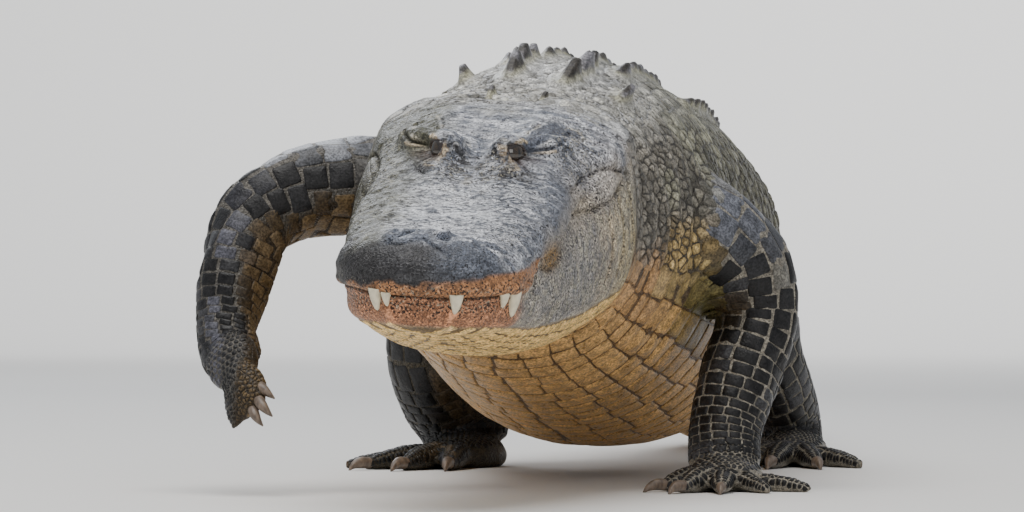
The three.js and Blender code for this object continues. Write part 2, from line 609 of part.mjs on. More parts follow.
const LIMBS = [
  {
    parts: ["left_upper_arm", "left_forearm", "left_forefoot"],
    stations: LEFT_ARM,
    facing: [0, -1, 0.2],
    foot: footSolid(FORE_TOES, 1, FORE_FOOT),
    frame: footFrame(FOOT_PLACES.leftArm),
    onGround: true,
  },
  {
    parts: ["right_upper_arm", "right_forearm", "right_forefoot"],
    stations: RIGHT_ARM,
    facing: [0, -1, -0.2],
    foot: footSolid(HANGING_TOES, -1, HANGING_FOOT),
    frame: footFrame(FOOT_PLACES.rightArm),
    onGround: false,
  },
  {
    parts: ["right_thigh", "right_shank", "right_hindfoot"],
    stations: RIGHT_LEG,
    facing: [0, -1, 0.2],
    foot: footSolid(HIND_TOES, -1, HIND_FOOT),
    frame: footFrame(FOOT_PLACES.rightLeg),
    onGround: true,
  },
  {
    parts: ["left_thigh", "left_shank", "left_hindfoot"],
    stations: LEFT_LEG,
    facing: [0, -1, 0.2],
    foot: footSolid(HIND_TOES, 1, HIND_FOOT),
    frame: footFrame(FOOT_PLACES.leftLeg),
    onGround: true,
  },
];

// Materials
const HIDE = { color: 0x4b4a44, roughness: 0.55 };
const LIMB_HIDE = { color: 0x2b2b2c, roughness: 0.45 };
const JAW_HIDE = { color: 0xb59a6a, roughness: 0.6 };
const EYE_LOOK = { color: 0x2a1a10, roughness: 0.1 };

const model = new THREE.Group();
function add(name, made, look) {
  const found = made.getMesh();
  const g = new THREE.BufferGeometry();
  g.setAttribute("position", new THREE.BufferAttribute(new Float32Array(found.vertProperties), 3));
  g.setIndex(new THREE.BufferAttribute(new Uint32Array(found.triVerts), 1));
  g.computeVertexNormals();
  const mesh = new THREE.Mesh(g, new THREE.MeshStandardMaterial({ ...look, metalness: 0 }));
  mesh.name = name;
  mesh.position.set(...ORIGIN);
  model.add(mesh);
}

add("head", makeHead(), HIDE);
add("lower_jaw", makeLowerJaw(), JAW_HIDE);
add("eye_left", eyeball(1), EYE_LOOK);
add("eye_right", eyeball(-1), EYE_LOOK);
add("neck", largest(between(union(trunk, napeScutes()), NECK_START, TORSO_START)), HIDE);
add("torso", largest(between(union(trunk, backScutes(0, TAIL_START - 20)), TORSO_START, TAIL_START)), HIDE);
for (const [name, from, to] of [
  ["tail_base", TAIL_START, TAIL_MIDDLE],
  ["tail_middle", TAIL_MIDDLE, TAIL_END],
  ["tail_tip", TAIL_END, TAIL_TIP + 1],
]) {
  const length = union(trunk, crest(from + 26, Math.min(to - 20, TAIL_TIP - 60)));
  add(name, largest(onFloor(between(length, from, to))), HIDE);
}
for (const { parts, stations, facing, foot, frame, onGround } of LIMBS) {
  const limb = tube(stations, LIMB_SIDES, facing);
  const upper = limb.before(limb.length(0, ELBOW + LAP, LIMB_RINGS), ELBOW);
  const lower = limb.before(limb.after(limb.length(ELBOW - LAP, WRIST + LAP, LIMB_RINGS), ELBOW), WRIST);
  const end = limb.after(union(limb.length(WRIST - LAP, 1, 2), foot.transform(frame.elements)), WRIST);
  add(parts[0], largest(upper.subtract(trunkGrown)), LIMB_HIDE);
  add(parts[1], largest(lower.subtract(trunkGrown)), LIMB_HIDE);
  add(parts[2], largest(onGround ? onFloor(end) : end), LIMB_HIDE);
}

export default model;
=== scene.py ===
"""American alligator, life-size: the skin, scales, plates, eyes, claws and teeth over the CAD solids.

Lengths are millimetres in the animal's own frame until a piece is made: the nose points to -Y, the left side
is +X and the origin lies below the shoulders. ORIGIN moves it to the part's frame.
"""
import math

import bmesh
import bpy
import numpy as np
from mathutils import Matrix, Vector, kdtree
from mathutils.bvhtree import BVHTree


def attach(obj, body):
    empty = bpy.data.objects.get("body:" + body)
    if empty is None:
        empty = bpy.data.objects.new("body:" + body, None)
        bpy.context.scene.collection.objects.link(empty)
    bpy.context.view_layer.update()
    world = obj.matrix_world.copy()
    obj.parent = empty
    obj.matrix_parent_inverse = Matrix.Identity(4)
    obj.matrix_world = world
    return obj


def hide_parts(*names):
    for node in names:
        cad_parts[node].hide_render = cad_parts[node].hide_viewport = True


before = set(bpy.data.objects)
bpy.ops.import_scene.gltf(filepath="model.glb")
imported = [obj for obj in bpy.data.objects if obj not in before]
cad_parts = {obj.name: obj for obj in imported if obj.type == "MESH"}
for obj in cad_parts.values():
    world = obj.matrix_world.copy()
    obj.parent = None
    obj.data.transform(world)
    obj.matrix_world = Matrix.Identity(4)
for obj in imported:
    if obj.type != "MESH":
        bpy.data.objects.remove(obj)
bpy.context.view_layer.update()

ORIGIN = np.array([30.0, -1007.0, 0.0])
MM = 0.001
SEED = 11

# The sizes that follow are those of the solids.
NECK_START = -296
TAIL_TIP = 2786
OCCIPUT = (-20, -292, 331)
HEAD_PITCH = 11
HEAD_YAW = 2.4
HEAD_ROLL = 3.5
JAW_TIP_START = 462
JAW_SETBACK = 0.68
FLAT_SHARE = 0.3
CHEEK = 0.32

BODY_COLUMNS = ("y", "x", "z", "wide", "up", "down", "top", "bottom", "roll")
BODY = [
    (-400, -24, 318, 140, 112, 112, 2.2, 2.2, 4),
    (-290, -20, 320, 157, 130, 130, 2.1, 2.2, 5),
    (-200, -15, 318, 168, 158, 166, 2.1, 2.1, 7),
    (-60, -4, 312, 190, 196, 202, 2.1, 2.1, 7),
    (100, 6, 300, 208, 220, 222, 2.15, 2.1, 6),
    (300, 14, 282, 222, 222, 236, 2.2, 2.2, 4),
    (520, 12, 268, 226, 212, 228, 2.25, 2.3, 2),
    (730, 4, 276, 200, 180, 200, 2.3, 2.2, 1),
    (900, 0, 286, 156, 146, 160, 2.4, 2.1, 0),
    (1080, 0, 264, 124, 130, 136, 2.6, 2.1, 0),
    (1300, 8, 202, 100, 116, 124, 2.6, 2.1, 0),
    (1540, 26, 136, 80, 102, 114, 2.6, 2.2, 0),
    (1800, 48, 94, 62, 84, 95, 2.5, 2.4, 0),
    (2100, 52, 68, 44, 66, 70, 2.3, 2.4, 0),
    (2450, 20, 45, 26, 44, 47, 2.2, 2.4, 0),
    (2800, -52, 18, 9, 14, 20, 2.1, 2.4, 0),
]
HEAD_COLUMNS = ("f", "top", "flat", "wide", "edge", "round", "lip", "jaw", "chin")
HEAD = [
    (-90, 126, 60, 148, 150, 1.5, 64, 154, -138),
    (-20, 120, 54, 150, 153, 1.35, 64, 163, -138),
    (20, 117, 50, 142, 138, 1.3, 61, 165, -138),
    (70, 110, 48, 127, 117, 1.35, 56, 159, -138),
    (122, 96, 48, 119, 111, 1.6, 49, 149, -136),
    (180, 85, 40, 116, 110, 1.9, 38, 138, -130),
    (240, 73, 34, 117, 113, 2.1, 26, 128, -117),
    (290, 66, 34, 117, 113, 2.2, 17, 119, -100),
    (340, 60, 36, 109, 102, 2.3, 15, 109, -82),
    (375, 57, 38, 107, 101, 2.3, -6, 100, -67),
    (410, 55, 36, 107, 101, 2.3, -10, 95, -60),
    (440, 53, 30, 97, 91, 2.2, -6, 84, -54),
    (462, 47, 20, 80, 73, 2.1, -4, 66, -46),
    (480, 37, 10, 54, 48, 2, -4, 42, -36),
    (487, 27, 5, 36, 32, 2, -4, 27, -29),
    (490, 12, 1, 12, 10, 2, -4, 9, -20),
]
# Soft hills on the head's roof: f, x, height, and spread along and across.
HILLS = [
    (132, 40, 20, 34, 17),
    (96, 74, 10, 30, 18),
    (45, 64, 5, 60, 22),
    (190, 36, 6, 42, 14),
    (436, 0, 8, 24, 40),
]
EYE = {"f": 140, "x": 36, "z": 96, "radius": 18, "lid": 4.5}
EYE_GAZE = (0.8, 0.6, 0.1)
EYE_OPENING = (14, 10)
EYE_TILT = 40
# The upper lid's long swelling, which runs outwards behind the eye
LID = {"x": 72, "f": 108, "z": 97, "long": 46, "across": 20, "high": 17, "turn": 33}

# Limb stations: x, y, z and the half thickness from side to side and from front to back.
LIMBS = {
    "left_arm": {
        "stations": [(96, -10, 318, 84, 72), (172, 20, 308, 76, 68), (236, 58, 262, 60, 58),
                     (252, 64, 208, 49, 48), (234, 34, 140, 49, 43), (219, -6, 70, 43, 34),
                     (220, -26, 26, 44, 32)],
        "facing": (0, -1, 0.2), "hand": 1, "foot": "fore", "place": (224, -52, -3), "ahead": (0.12, -1, 0),
        "up": (0, 0, 1),
    },
    "right_arm": {
        "stations": [(-100, -20, 352, 84, 70), (-196, -60, 362, 62, 58), (-280, -96, 356, 53, 52),
                     (-332, -124, 320, 48, 48), (-352, -152, 252, 43, 42), (-356, -186, 188, 35, 31),
                     (-345, -212, 154, 36, 24)],
        "facing": (0, -1, -0.2), "hand": -1, "foot": "hanging", "place": (-332, -236, 150),
        "ahead": (0.36, -0.72, -0.6), "up": (-0.55, -0.68, 0.48),
    },
    "right_leg": {
        "stations": [(-84, 842, 292, 92, 112), (-166, 774, 256, 86, 92), (-222, 712, 208, 76, 70),
                     (-232, 706, 152, 68, 60), (-222, 738, 102, 68, 55), (-208, 766, 60, 62, 46),
                     (-198, 758, 26, 54, 36)],
        "facing": (0, -1, 0.2), "hand": -1, "foot": "hind", "place": (-196, 712, -3), "ahead": (-0.42, -1, 0),
        "up": (0, 0, 1),
    },
    "left_leg": {
        "stations": [(78, 886, 290, 86, 112), (136, 842, 254, 78, 92), (172, 808, 206, 66, 70),
                     (186, 820, 152, 56, 58), (206, 860, 102, 48, 52), (218, 900, 58, 43, 44),
                     (220, 892, 26, 46, 36)],
        "facing": (0, -1, 0.2), "hand": 1, "foot": "hind", "place": (228, 852, -3), "ahead": (-0.05, -1, 0),
        "up": (0, 0, 1),
    },
}
# Toes: turn outwards, length from the palm's middle, thickness and length of the claw.
FORE_TOES = [(-58, 90, 14, 27), (-30, 112, 14, 28), (-4, 116, 13, 24), (26, 112, 11, 0), (60, 116, 10, 0)]
HIND_TOES = [(-22, 150, 16, 29), (-2, 172, 16, 30), (18, 176, 15, 27), (40, 168, 12, 0)]
HANGING_SPREAD = 0.3
HANGING_REACH = 0.84
FEET = {
    "fore": {"toes": FORE_TOES, "palm": (46, 46, 30), "arch": 1.35},
    "hanging": {
        "toes": [(t * HANGING_SPREAD, r * HANGING_REACH, w, c * HANGING_REACH) for t, r, w, c in FORE_TOES],
        "palm": (34, 48, 22), "arch": 1.35,
    },
    "hind": {"toes": HIND_TOES, "palm": (48, 74, 32), "arch": 1.3},
}

# Back armour, teeth and crest, as in the solids
TAIL_START = 960
ROW_STEP = 56
SCUTE_SPACING = 45
SCUTE_WIDE = 50
SCUTE_LONG = 58
SCUTE_HIGH = 14
PLATE_THICK = 4
NUCHALS = [
    (-250, 30, 0.62), (-236, 84, 0.62), (-138, 32, 1.25), (-84, 36, 1.25), (-112, 92, 0.95), (-36, 34, 1.0),
]
CREST_JOINS = 1760
CREST_STEP = 52
CREST_HIGH = 42
CREST_LONG = 56
CREST_THICK = 8
CREST_APART = 62
UPPER_TEETH = [(-1, 476, 19, 7), (-1, 484, 12, 4.5), (1, 482, 17, 6.3), (1, 443, 13, 5), (1, 424, 24, 7.5)]

# The skin's mesh: the size of its cells, and how many rings and sides the closed bodies under it have
VOXEL = 5.0
BODY_MESH = (400, 96)
HEAD_MESH = (110, 120)
LIMB_MESH = (60, 48)
TOE_MESH = (30, 16)
HEAD_START = -85  # where the head begins within the neck
HEAD_LONG = 575

# The camera stands 8.3 m away, level, a little to the animal's left. Pixels are those of a picture 1024 wide.
CAMERA = (0.9499, -8.2993, 0.28)
CAMERA_AZIMUTH = 7.5
CAMERA_LENS = 214
SENSOR = 36
PICTURE = (1024, 512)


def curve(xs, ys):
    """A smooth curve through (xs, ys) that never overshoots its points."""
    xs = np.asarray(xs, float)
    ys = np.asarray(ys, float)
    rise = np.diff(ys) / np.diff(xs)
    before = np.concatenate([rise[:1], rise])
    after = np.concatenate([rise, rise[-1:]])
    product = before * after
    total = np.where(product > 0, before + after, 1)
    slope = np.where(product > 0, 2 * product / total, 0)

    def at(x):
        i = np.searchsorted(xs[1:-1], x)
        span = xs[i + 1] - xs[i]
        t = np.clip((x - xs[i]) / span, 0, 1)
        rest = 1 - t
        return rest * rest * ((1 + 2 * t) * ys[i] + t * span * slope[i]) + t * t * (
            (3 - 2 * t) * ys[i + 1] - rest * span * slope[i + 1]
        )

    return at


def tracks(rows, columns):
    """A curve for each column of a table of stations, read at its first column."""
    table = np.array(rows, float)
    return {name: curve(table[:, 0], table[:, i]) for i, name in enumerate(columns)}


def power(v, p):
    return np.sign(v) * np.abs(v) ** p


def smooth(low, high, v):
    """From 0 below low to 1 above high."""
    t = np.clip((v - low) / (high - low), 0, 1)
    return t * t * (3 - 2 * t)


def unit(v):
    v = np.asarray(v, float)
    return v / np.maximum(np.linalg.norm(v, axis=-1, keepdims=True), 1e-9)


body = tracks(BODY, BODY_COLUMNS)
head = tracks(HEAD, HEAD_COLUMNS)


def body_point(y, angle):
    """The trunk's surface at y, with angle 0 on the back and a quarter turn on the left side."""
    s = np.sin(angle)
    c = np.cos(angle)
    p = 2 / np.where(c > 0, body["top"](y), body["bottom"](y))
    across = body["wide"](y) * power(s, p)
    high = np.where(c > 0, body["up"](y), body["down"](y)) * power(c, p)
    turn = np.radians(body["roll"](y))
    x = body["x"](y) + across * np.cos(turn) + high * np.sin(turn)
    z = body["z"](y) + high * np.cos(turn) - across * np.sin(turn)
    return np.stack([x, y + 0 * x, z], -1)


def body_place(p):
    """For points near the trunk: y, the angle round it and how far out they lie, 1 being its surface."""
    y = p[:, 1]
    turn = np.radians(body["roll"](y))
    dx = p[:, 0] - body["x"](y)
    dz = p[:, 2] - body["z"](y)
    across = (dx * np.cos(turn) - dz * np.sin(turn)) / body["wide"](y)
    high = dx * np.sin(turn) + dz * np.cos(turn)
    high = high / np.where(high > 0, body["up"](y), body["down"](y))
    n = np.where(high > 0, body["top"](y), body["bottom"](y))
    out = (np.abs(across) ** n + np.abs(high) ** n) ** (1 / n)
    angle = np.arctan2(power(across, n / 2), power(high, n / 2))
    return y, angle, out


head_matrix = np.array(
    Matrix.Translation(OCCIPUT)
    @ Matrix.Rotation(math.radians(-HEAD_YAW), 4, "Z")
    @ Matrix.Rotation(math.radians(HEAD_PITCH), 4, "X")
    @ Matrix.Rotation(math.radians(HEAD_ROLL), 4, "Y")
)


def head_point(x, f, z):
    local = np.stack(np.broadcast_arrays(x, -np.asarray(f, float), z), -1)
    return local @ head_matrix[:3, :3].T + head_matrix[:3, 3]


def head_place(p):
    """Points in the head's own terms: x to its left, f forwards and z up."""
    local = (p - head_matrix[:3, 3]) @ head_matrix[:3, :3]
    return local[:, 0], -local[:, 1], local[:, 2]


def hill(f, x):
    return sum(
        high * np.exp(-(((f - at) / long) ** 2) - ((np.abs(x) - side) / across) ** 2)
        for at, side, high, long, across in HILLS
    )


def upper_section(f, a):
    low = head["lip"](f)
    top = head["top"](f)
    cheek = low + CHEEK * (top - low)
    wide = head["wide"](f)
    edge = head["edge"](f)
    flat = head["flat"](f)
    bend = 2 / head["round"](f)
    q = a / (math.pi / 2)
    roof_x = flat * q / FLAT_SHARE
    roof = np.stack([roof_x, top + hill(f, roof_x)], -1)
    u = np.clip((q - FLAT_SHARE) / (1 - FLAT_SHARE), 0, 1) * math.pi / 2
    cos = np.maximum(0, np.cos(u))
    slope_x = flat + (wide - flat) * np.sin(u) ** bend
    slope = np.stack([slope_x, cheek + (top - cheek) * cos**bend + hill(f, slope_x) * cos], -1)
    v = np.clip(q - 1, 0, 0.5) * math.pi
    side = np.stack([wide + (edge - wide) * (1 - np.cos(v)), cheek + (low - cheek) * np.sin(v)], -1)
    floor = np.stack([edge * np.clip(2 - q, 0, 0.5) * 2, low + 0 * q], -1)
    q = q[..., None]
    return np.where(q <= FLAT_SHARE, roof, np.where(q <= 1, slope, np.where(q <= 1.5, side, floor)))


def lower_section(f, a):
    high = head["lip"](f)
    jaw = head["jaw"](f)
    chin = head["chin"](f)
    edge = np.minimum(head["edge"](f) - 3, jaw * 0.97)
    waist = high + 0.4 * (chin - high)
    q = a / (math.pi / 2)
    roof = np.stack([edge * np.clip(q, 0, 0.5) * 2, high + 0 * q], -1)
    v = np.clip(q - 0.5, 0, 0.5) * math.pi
    side = np.stack([edge + (jaw - edge) * np.sin(v), high + (waist - high) * (1 - np.cos(v))], -1)
    u = np.clip(q - 1, 0, 1) * math.pi / 2
    floor = np.stack(
        [jaw * np.maximum(0, np.cos(u)) ** (2 / 2.4), waist + (chin - waist) * np.sin(u) ** (2 / 2.4)], -1
    )
    q = q[..., None]
    return np.where(q <= 0.5, roof, np.where(q <= 1, side, floor))


class Tube:
    """A tube through stations, with frames that turn smoothly along it. facing is the front's side."""

    def __init__(self, stations, facing):
        table = np.array(stations, float)
        self.points = table[:, :3]
        self.last = len(table) - 1
        self.a = curve(np.arange(len(table)), table[:, 3])
        self.b = curve(np.arange(len(table)), table[:, 4])
        self.face = np.array(facing, float)

    def path(self, t):
        s = np.clip(np.asarray(t, float), 0, 1) * self.last
        i = np.minimum(np.floor(s).astype(int), self.last - 1)
        w = (s - i)[..., None]
        first = 2 * self.points[0] - self.points[1]
        end = 2 * self.points[-1] - self.points[-2]
        all_points = np.vstack([first, self.points, end])
        p0, p1, p2, p3 = (all_points[i + k] for k in range(4))
        d0, d1, d2 = (
            np.maximum(np.linalg.norm(b - a, axis=-1, keepdims=True) ** 0.5, 1e-4)
            for a, b in ((p0, p1), (p1, p2), (p2, p3))
        )
        m1 = ((p1 - p0) / d0 - (p2 - p0) / (d0 + d1) + (p2 - p1) / d1) * d1
        m2 = ((p2 - p1) / d1 - (p3 - p1) / (d1 + d2) + (p3 - p2) / d2) * d1
        return p1 + m1 * w + (-3 * p1 + 3 * p2 - 2 * m1 - m2) * w**2 + (2 * p1 - 2 * p2 + m1 + m2) * w**3

    def frames(self, t):
        run = unit(self.path(np.minimum(t + 1e-4, 1)) - self.path(np.maximum(t - 1e-4, 0)))
        across = unit(np.cross(run, self.face))
        return run, across, np.cross(across, run)

    def point(self, t, angle):
        _, across, front = self.frames(t)
        a = self.a(t * self.last) * np.sin(angle)
        b = self.b(t * self.last) * np.cos(angle)
        return self.path(t) + across * a[..., None] + front * b[..., None]

    def place(self, p):
        """For points near the tube: t, the angle round it and how far out they lie, 1 being its surface."""
        steps = np.linspace(0, 1, 121)
        path = self.path(steps)
        nearest = np.empty(len(p), int)
        for start in range(0, len(p), 20000):
            part = p[start : start + 20000]
            away = (part**2).sum(1)[:, None] - 2 * part @ path.T + (path**2).sum(1)[None]
            nearest[start : start + 20000] = away.argmin(1)
        run, across, front = self.frames(steps[nearest])
        offset = p - path[nearest]
        t = np.clip(steps[nearest] + (offset * run).sum(1) / max(1, self.length()), 0, 1)
        u = (offset * across).sum(1) / self.a(t * self.last)
        v = (offset * front).sum(1) / self.b(t * self.last)
        beyond = np.abs((offset * run).sum(1)) * ((nearest == 0) | (nearest == 120)) / 40
        return t, np.arctan2(u, v), np.hypot(u, v) + beyond

    def length(self):
        return np.linalg.norm(np.diff(self.path(np.linspace(0, 1, 60)), axis=0), axis=1).sum()


def loft(rings, sides, point, middle):
    """A closed surface: point(t, angle) for ring t, from 0 to 1, and middle(t) at both ends.

    Gives its vertices and faces.
    """
    turn = np.arange(sides) / sides * 2 * math.pi
    t, angle = np.meshgrid(np.linspace(0, 1, rings), turn, indexing="ij")
    grid = point(t.ravel(), angle.ravel())
    verts = np.vstack([grid, middle(np.array([0.0, 1.0]))])
    i = np.arange(sides)
    j = (i + 1) % sides
    faces = []
    for ring in range(rings - 1):
        low = ring * sides
        faces += np.stack([low + i, low + j, low + sides + j, low + sides + i], 1).tolist()
    tip = rings * sides
    faces += np.stack([j, i, np.full(sides, tip)], 1).tolist()
    top = (rings - 1) * sides
    faces += np.stack([top + i, top + j, np.full(sides, tip + 1)], 1).tolist()
    return verts, faces


def body_loft():
    def y(t):
        return NECK_START + (TAIL_TIP - NECK_START) * t

    def middle(t):
        return np.stack([body["x"](y(t)), y(t), body["z"](y(t))], -1)

    return loft(*BODY_MESH, lambda t, a: body_point(y(t), a), middle)


def head_loft(section, tip_share):
    def f(t):
        reach = HEAD_START + HEAD_LONG * np.sin(t * math.pi / 2) ** 0.9
        return np.where(reach < JAW_TIP_START, reach, JAW_TIP_START + (reach - JAW_TIP_START) * tip_share)

    def point(t, angle):
        hand = np.where(angle > math.pi, -1, 1)
        flat = section(f(t), np.where(hand > 0, angle, 2 * math.pi - angle))
        return head_point(hand * flat[:, 0], f(t), flat[:, 1])

    def middle(t):
        high = (section(f(t), 0 * t)[:, 1] + section(f(t), 0 * t + math.pi)[:, 1]) / 2
        return head_point(0 * t, f(t), high)

    return loft(*HEAD_MESH, point, middle)


def tube_loft(tube, rings, sides):
    return loft(rings, sides, tube.point, tube.path)


def ball(centre, radii, turn=np.eye(3), fine=24):
    def point(t, angle):
        lat = (t - 0.5) * 0.98 * math.pi
        p = np.stack([np.cos(lat) * np.sin(angle), np.cos(lat) * np.cos(angle), -np.sin(lat)], -1)
        return (p * radii) @ np.asarray(turn).T + centre

    def middle(t):
        return np.array([[0, 0, 1.0], [0, 0, -1.0]]) * radii @ np.asarray(turn).T + centre

    return loft(fine, fine * 4 // 3, point, middle)


def foot_frame(limb):
    back = -unit(limb["ahead"])
    left = unit(np.cross(back, limb["up"]))
    return np.column_stack([left, back, np.cross(left, back)]), np.array(limb["place"], float)


def toe_stations(limb, toe, place):
    """A toe's stations in the animal's frame: r from the palm's middle, z, and both half thicknesses."""
    turn, place_at = foot_frame(limb)
    angle = math.radians(toe[0]) * limb["hand"]
    found = []
    for r, z, a, b in place:
        local = np.array([math.sin(angle) * r, -math.cos(angle) * r, z])
        found.append((*(turn @ local + place_at), a, b))
    return found


def foot_parts(limb):
    foot = FEET[limb["foot"]]
    wide, long, high = foot["palm"]
    turn, place = foot_frame(limb)
    parts = [ball(turn @ np.array([0, 0, high * 0.55]) + place, np.array([wide, long, high]), turn)]
    tubes = []
    for toe in foot["toes"]:
        _, reach, thick, _ = toe
        stations = toe_stations(limb, toe, [
            (long * 0.45, high * 0.55, thick * 1.2, thick * 1.08),
            (reach * 0.5, thick * foot["arch"], thick * 1.1, thick * 1.1),
            (reach * 0.78, thick * 0.95, thick * 0.98, thick * 0.98),
            (reach, thick * 0.6, thick * 0.5, thick * 0.5),
        ])
        tubes.append(Tube(stations, turn[:, 2]))
        parts.append(tube_loft(tubes[-1], *TOE_MESH))
    return parts, tubes


def join(parts):
    verts = []
    faces = []
    count = 0
    for v, f in parts:
        verts.append(v)
        faces += [[i + count for i in face] for face in f]
        count += len(v)
    return np.vstack(verts), faces


def placed(verts):
    return (np.asarray(verts) + ORIGIN) * MM


def mesh_object(name, verts, faces):
    verts = np.maximum(verts, [-np.inf, -np.inf, 0])
    mesh = bpy.data.meshes.new(name)
    mesh.from_pydata(placed(verts).tolist(), [], faces)
    mesh.shade_smooth()
    mesh.update()
    obj = bpy.data.objects.new(name, mesh)
    bpy.context.scene.collection.objects.link(obj)
    return obj


def lengths_along(points):
    """How far along a line each of its points lies."""
    return np.concatenate([[0], np.cumsum(np.linalg.norm(np.diff(points, axis=0), axis=1))])


def walk(points, spacing):
    """Places along a line of points at a spacing that may change: their shares of the point list."""
    steps = lengths_along(points)
    found = []
    share = 0.0
    while share <= 1:
        found.append(share)
        done = np.interp(share * (len(points) - 1), np.arange(len(points)), steps)
        share = np.interp(done + spacing(share), steps, np.arange(len(points))) / (len(points) - 1)
        if done + spacing(share) > steps[-1]:
            break
    return np.array(found)


# The skin
def hashed(cell, seed):
    v = np.sin(cell @ np.array([12.9898, 78.233, 37.719]) + seed * 7.13) * 43758.5453
    return (v - np.floor(v)) * 2 - 1


def noise(p, size, seed=0):
    """Smooth noise from -1 to 1 with features of about that size."""
    q = p / size
    cell = np.floor(q)
    t = q - cell
    t = t * t * (3 - 2 * t)
    total = 0
    for corner in np.ndindex(2, 2, 2):
        step = np.array(corner)
        weight = np.prod(np.where(step, t, 1 - t), axis=1)
        total = total + weight * hashed(cell + step, seed)
    return total


def relax(p, edges, weight, times):
    """Draws points towards their neighbours' middle, each by its weight."""
    a, b = edges.T
    count = np.bincount(a, minlength=len(p)) + np.bincount(b, minlength=len(p))
    for _ in range(times):
        total = np.stack(
            [np.bincount(a, p[b, k], len(p)) + np.bincount(b, p[a, k], len(p)) for k in range(3)], 1
        )
        p = p + weight[:, None] * (total / count[:, None] - p)
    return p


def points_of(mesh):
    flat = np.empty(len(mesh.vertices) * 3)
    mesh.vertices.foreach_get("co", flat)
    return flat.reshape(-1, 3) / MM - ORIGIN


def normals_of(mesh):
    flat = np.empty(len(mesh.vertices) * 3)
    mesh.vertex_normals.foreach_get("vector", flat)
    return flat.reshape(-1, 3)


def edges_of(mesh):
    flat = np.empty(len(mesh.edges) * 2, int)
    mesh.edges.foreach_get("vertices", flat)
    return flat.reshape(-1, 2)


def set_points(mesh, p):
    mesh.vertices.foreach_set("co", placed(p).ravel())
    mesh.update()


def refine(mesh, chosen):
    """Splits the faces whose corners are all chosen into four."""
    made = bmesh.new()
    made.from_mesh(mesh)
    made.verts.ensure_lookup_table()
    edges = [e for e in made.edges if chosen[e.verts[0].index] and chosen[e.verts[1].index]]
    bmesh.ops.subdivide_edges(made, edges=edges, cuts=1, use_grid_fill=True)
    made.to_mesh(mesh)
    made.free()
    mesh.update()


def lid_swelling(hand):
    turn = math.radians(LID["turn"]) * hand
    along = np.array([math.sin(turn), math.cos(turn), 0])
    across = np.array([math.cos(turn), -math.sin(turn), 0])
    shape = np.column_stack([across, along, [0, 0, 1]])
    radii = np.array([LID["across"], LID["long"], LID["high"]])
    verts, faces = ball(np.array([hand * LID["x"], -LID["f"], LID["z"]]), radii, shape)
    return head_point(verts[:, 0], -verts[:, 1], verts[:, 2]), faces


limb_tubes = {name: Tube(limb["stations"], limb["facing"]) for name, limb in LIMBS.items()}
parts = [body_loft(), head_loft(upper_section, 1), head_loft(lower_section, JAW_SETBACK)]
toe_tubes = {}
for name, limb in LIMBS.items():
    parts.append(tube_loft(limb_tubes[name], *LIMB_MESH))
    made, toe_tubes[name] = foot_parts(limb)
    parts += made
for hand in (-1, 1):
    centre = head_point(hand * EYE["x"], EYE["f"], EYE["z"])
    parts.append(ball(centre, np.full(3, EYE["radius"] + EYE["lid"])))
    parts.append(lid_swelling(hand))
skin = mesh_object("skin", *join(parts))
remesh = skin.modifiers.new("remesh", "REMESH")
remesh.mode = "VOXEL"
remesh.voxel_size = VOXEL * MM
remesh.use_smooth_shade = True
depsgraph = bpy.context.evaluated_depsgraph_get()
solid = bpy.data.meshes.new_from_object(skin.evaluated_get(depsgraph))
skin.modifiers.clear()
skin.data = solid

# Where the limbs and the head grow from the trunk, the skin flows from one to the other.
p = points_of(solid)
_, _, trunk_out = body_place(p)
flow = np.zeros(len(p))
for tube in limb_tubes.values():
    _, _, limb_out = tube.place(p)
    flow = np.maximum(flow, np.exp(-(((trunk_out - 1) / 0.16) ** 2) - ((limb_out - 1) / 0.35) ** 2))
flow = np.maximum(flow, 0.8 * np.exp(-(((p[:, 1] - NECK_START) / 26) ** 2)) * (p[:, 2] > 260))
x, f, z = head_place(p)
closed = np.exp(-(((z - head["lip"](f)) / 16) ** 2)) * smooth(338, 322, f) * smooth(-70, -10, f)
flow = np.maximum(flow, closed * (np.abs(x) > 80))
p = relax(p, edges_of(solid), 0.6 * np.ones(len(p)), 2)
p = relax(p, edges_of(solid), 0.6 * flow, 40)
set_points(solid, p)


# The head, the nape and the feet get a finer mesh, the head's front one that is finer still.
def near_feet(p):
    found = np.zeros(len(p), bool)
    for limb in LIMBS.values():
        reach = max(toe[1] for toe in FEET[limb["foot"]]["toes"]) + 20
        found |= np.linalg.norm(p - limb["place"], axis=1) < reach
    return found


def face(p):
    x, f, z = head_place(p)
    return (f > 20) & (z > -150) & (np.abs(x) < 175)


refine(solid, (p[:, 1] < -190) | near_feet(p))
refine(solid, face(points_of(solid)))
p = relax(points_of(solid), edges_of(solid), np.full(len(solid.vertices), 0.5), 3)
set_points(solid, p)


def tree_of(obj):
    return BVHTree.FromObject(obj, bpy.context.evaluated_depsgraph_get())


def on_skin(point, tree):
    """The skin's nearest point and its normal there."""
    place, normal, _, _ = tree.find_nearest(Vector(placed(point)))
    return np.array(place) / MM - ORIGIN, normal


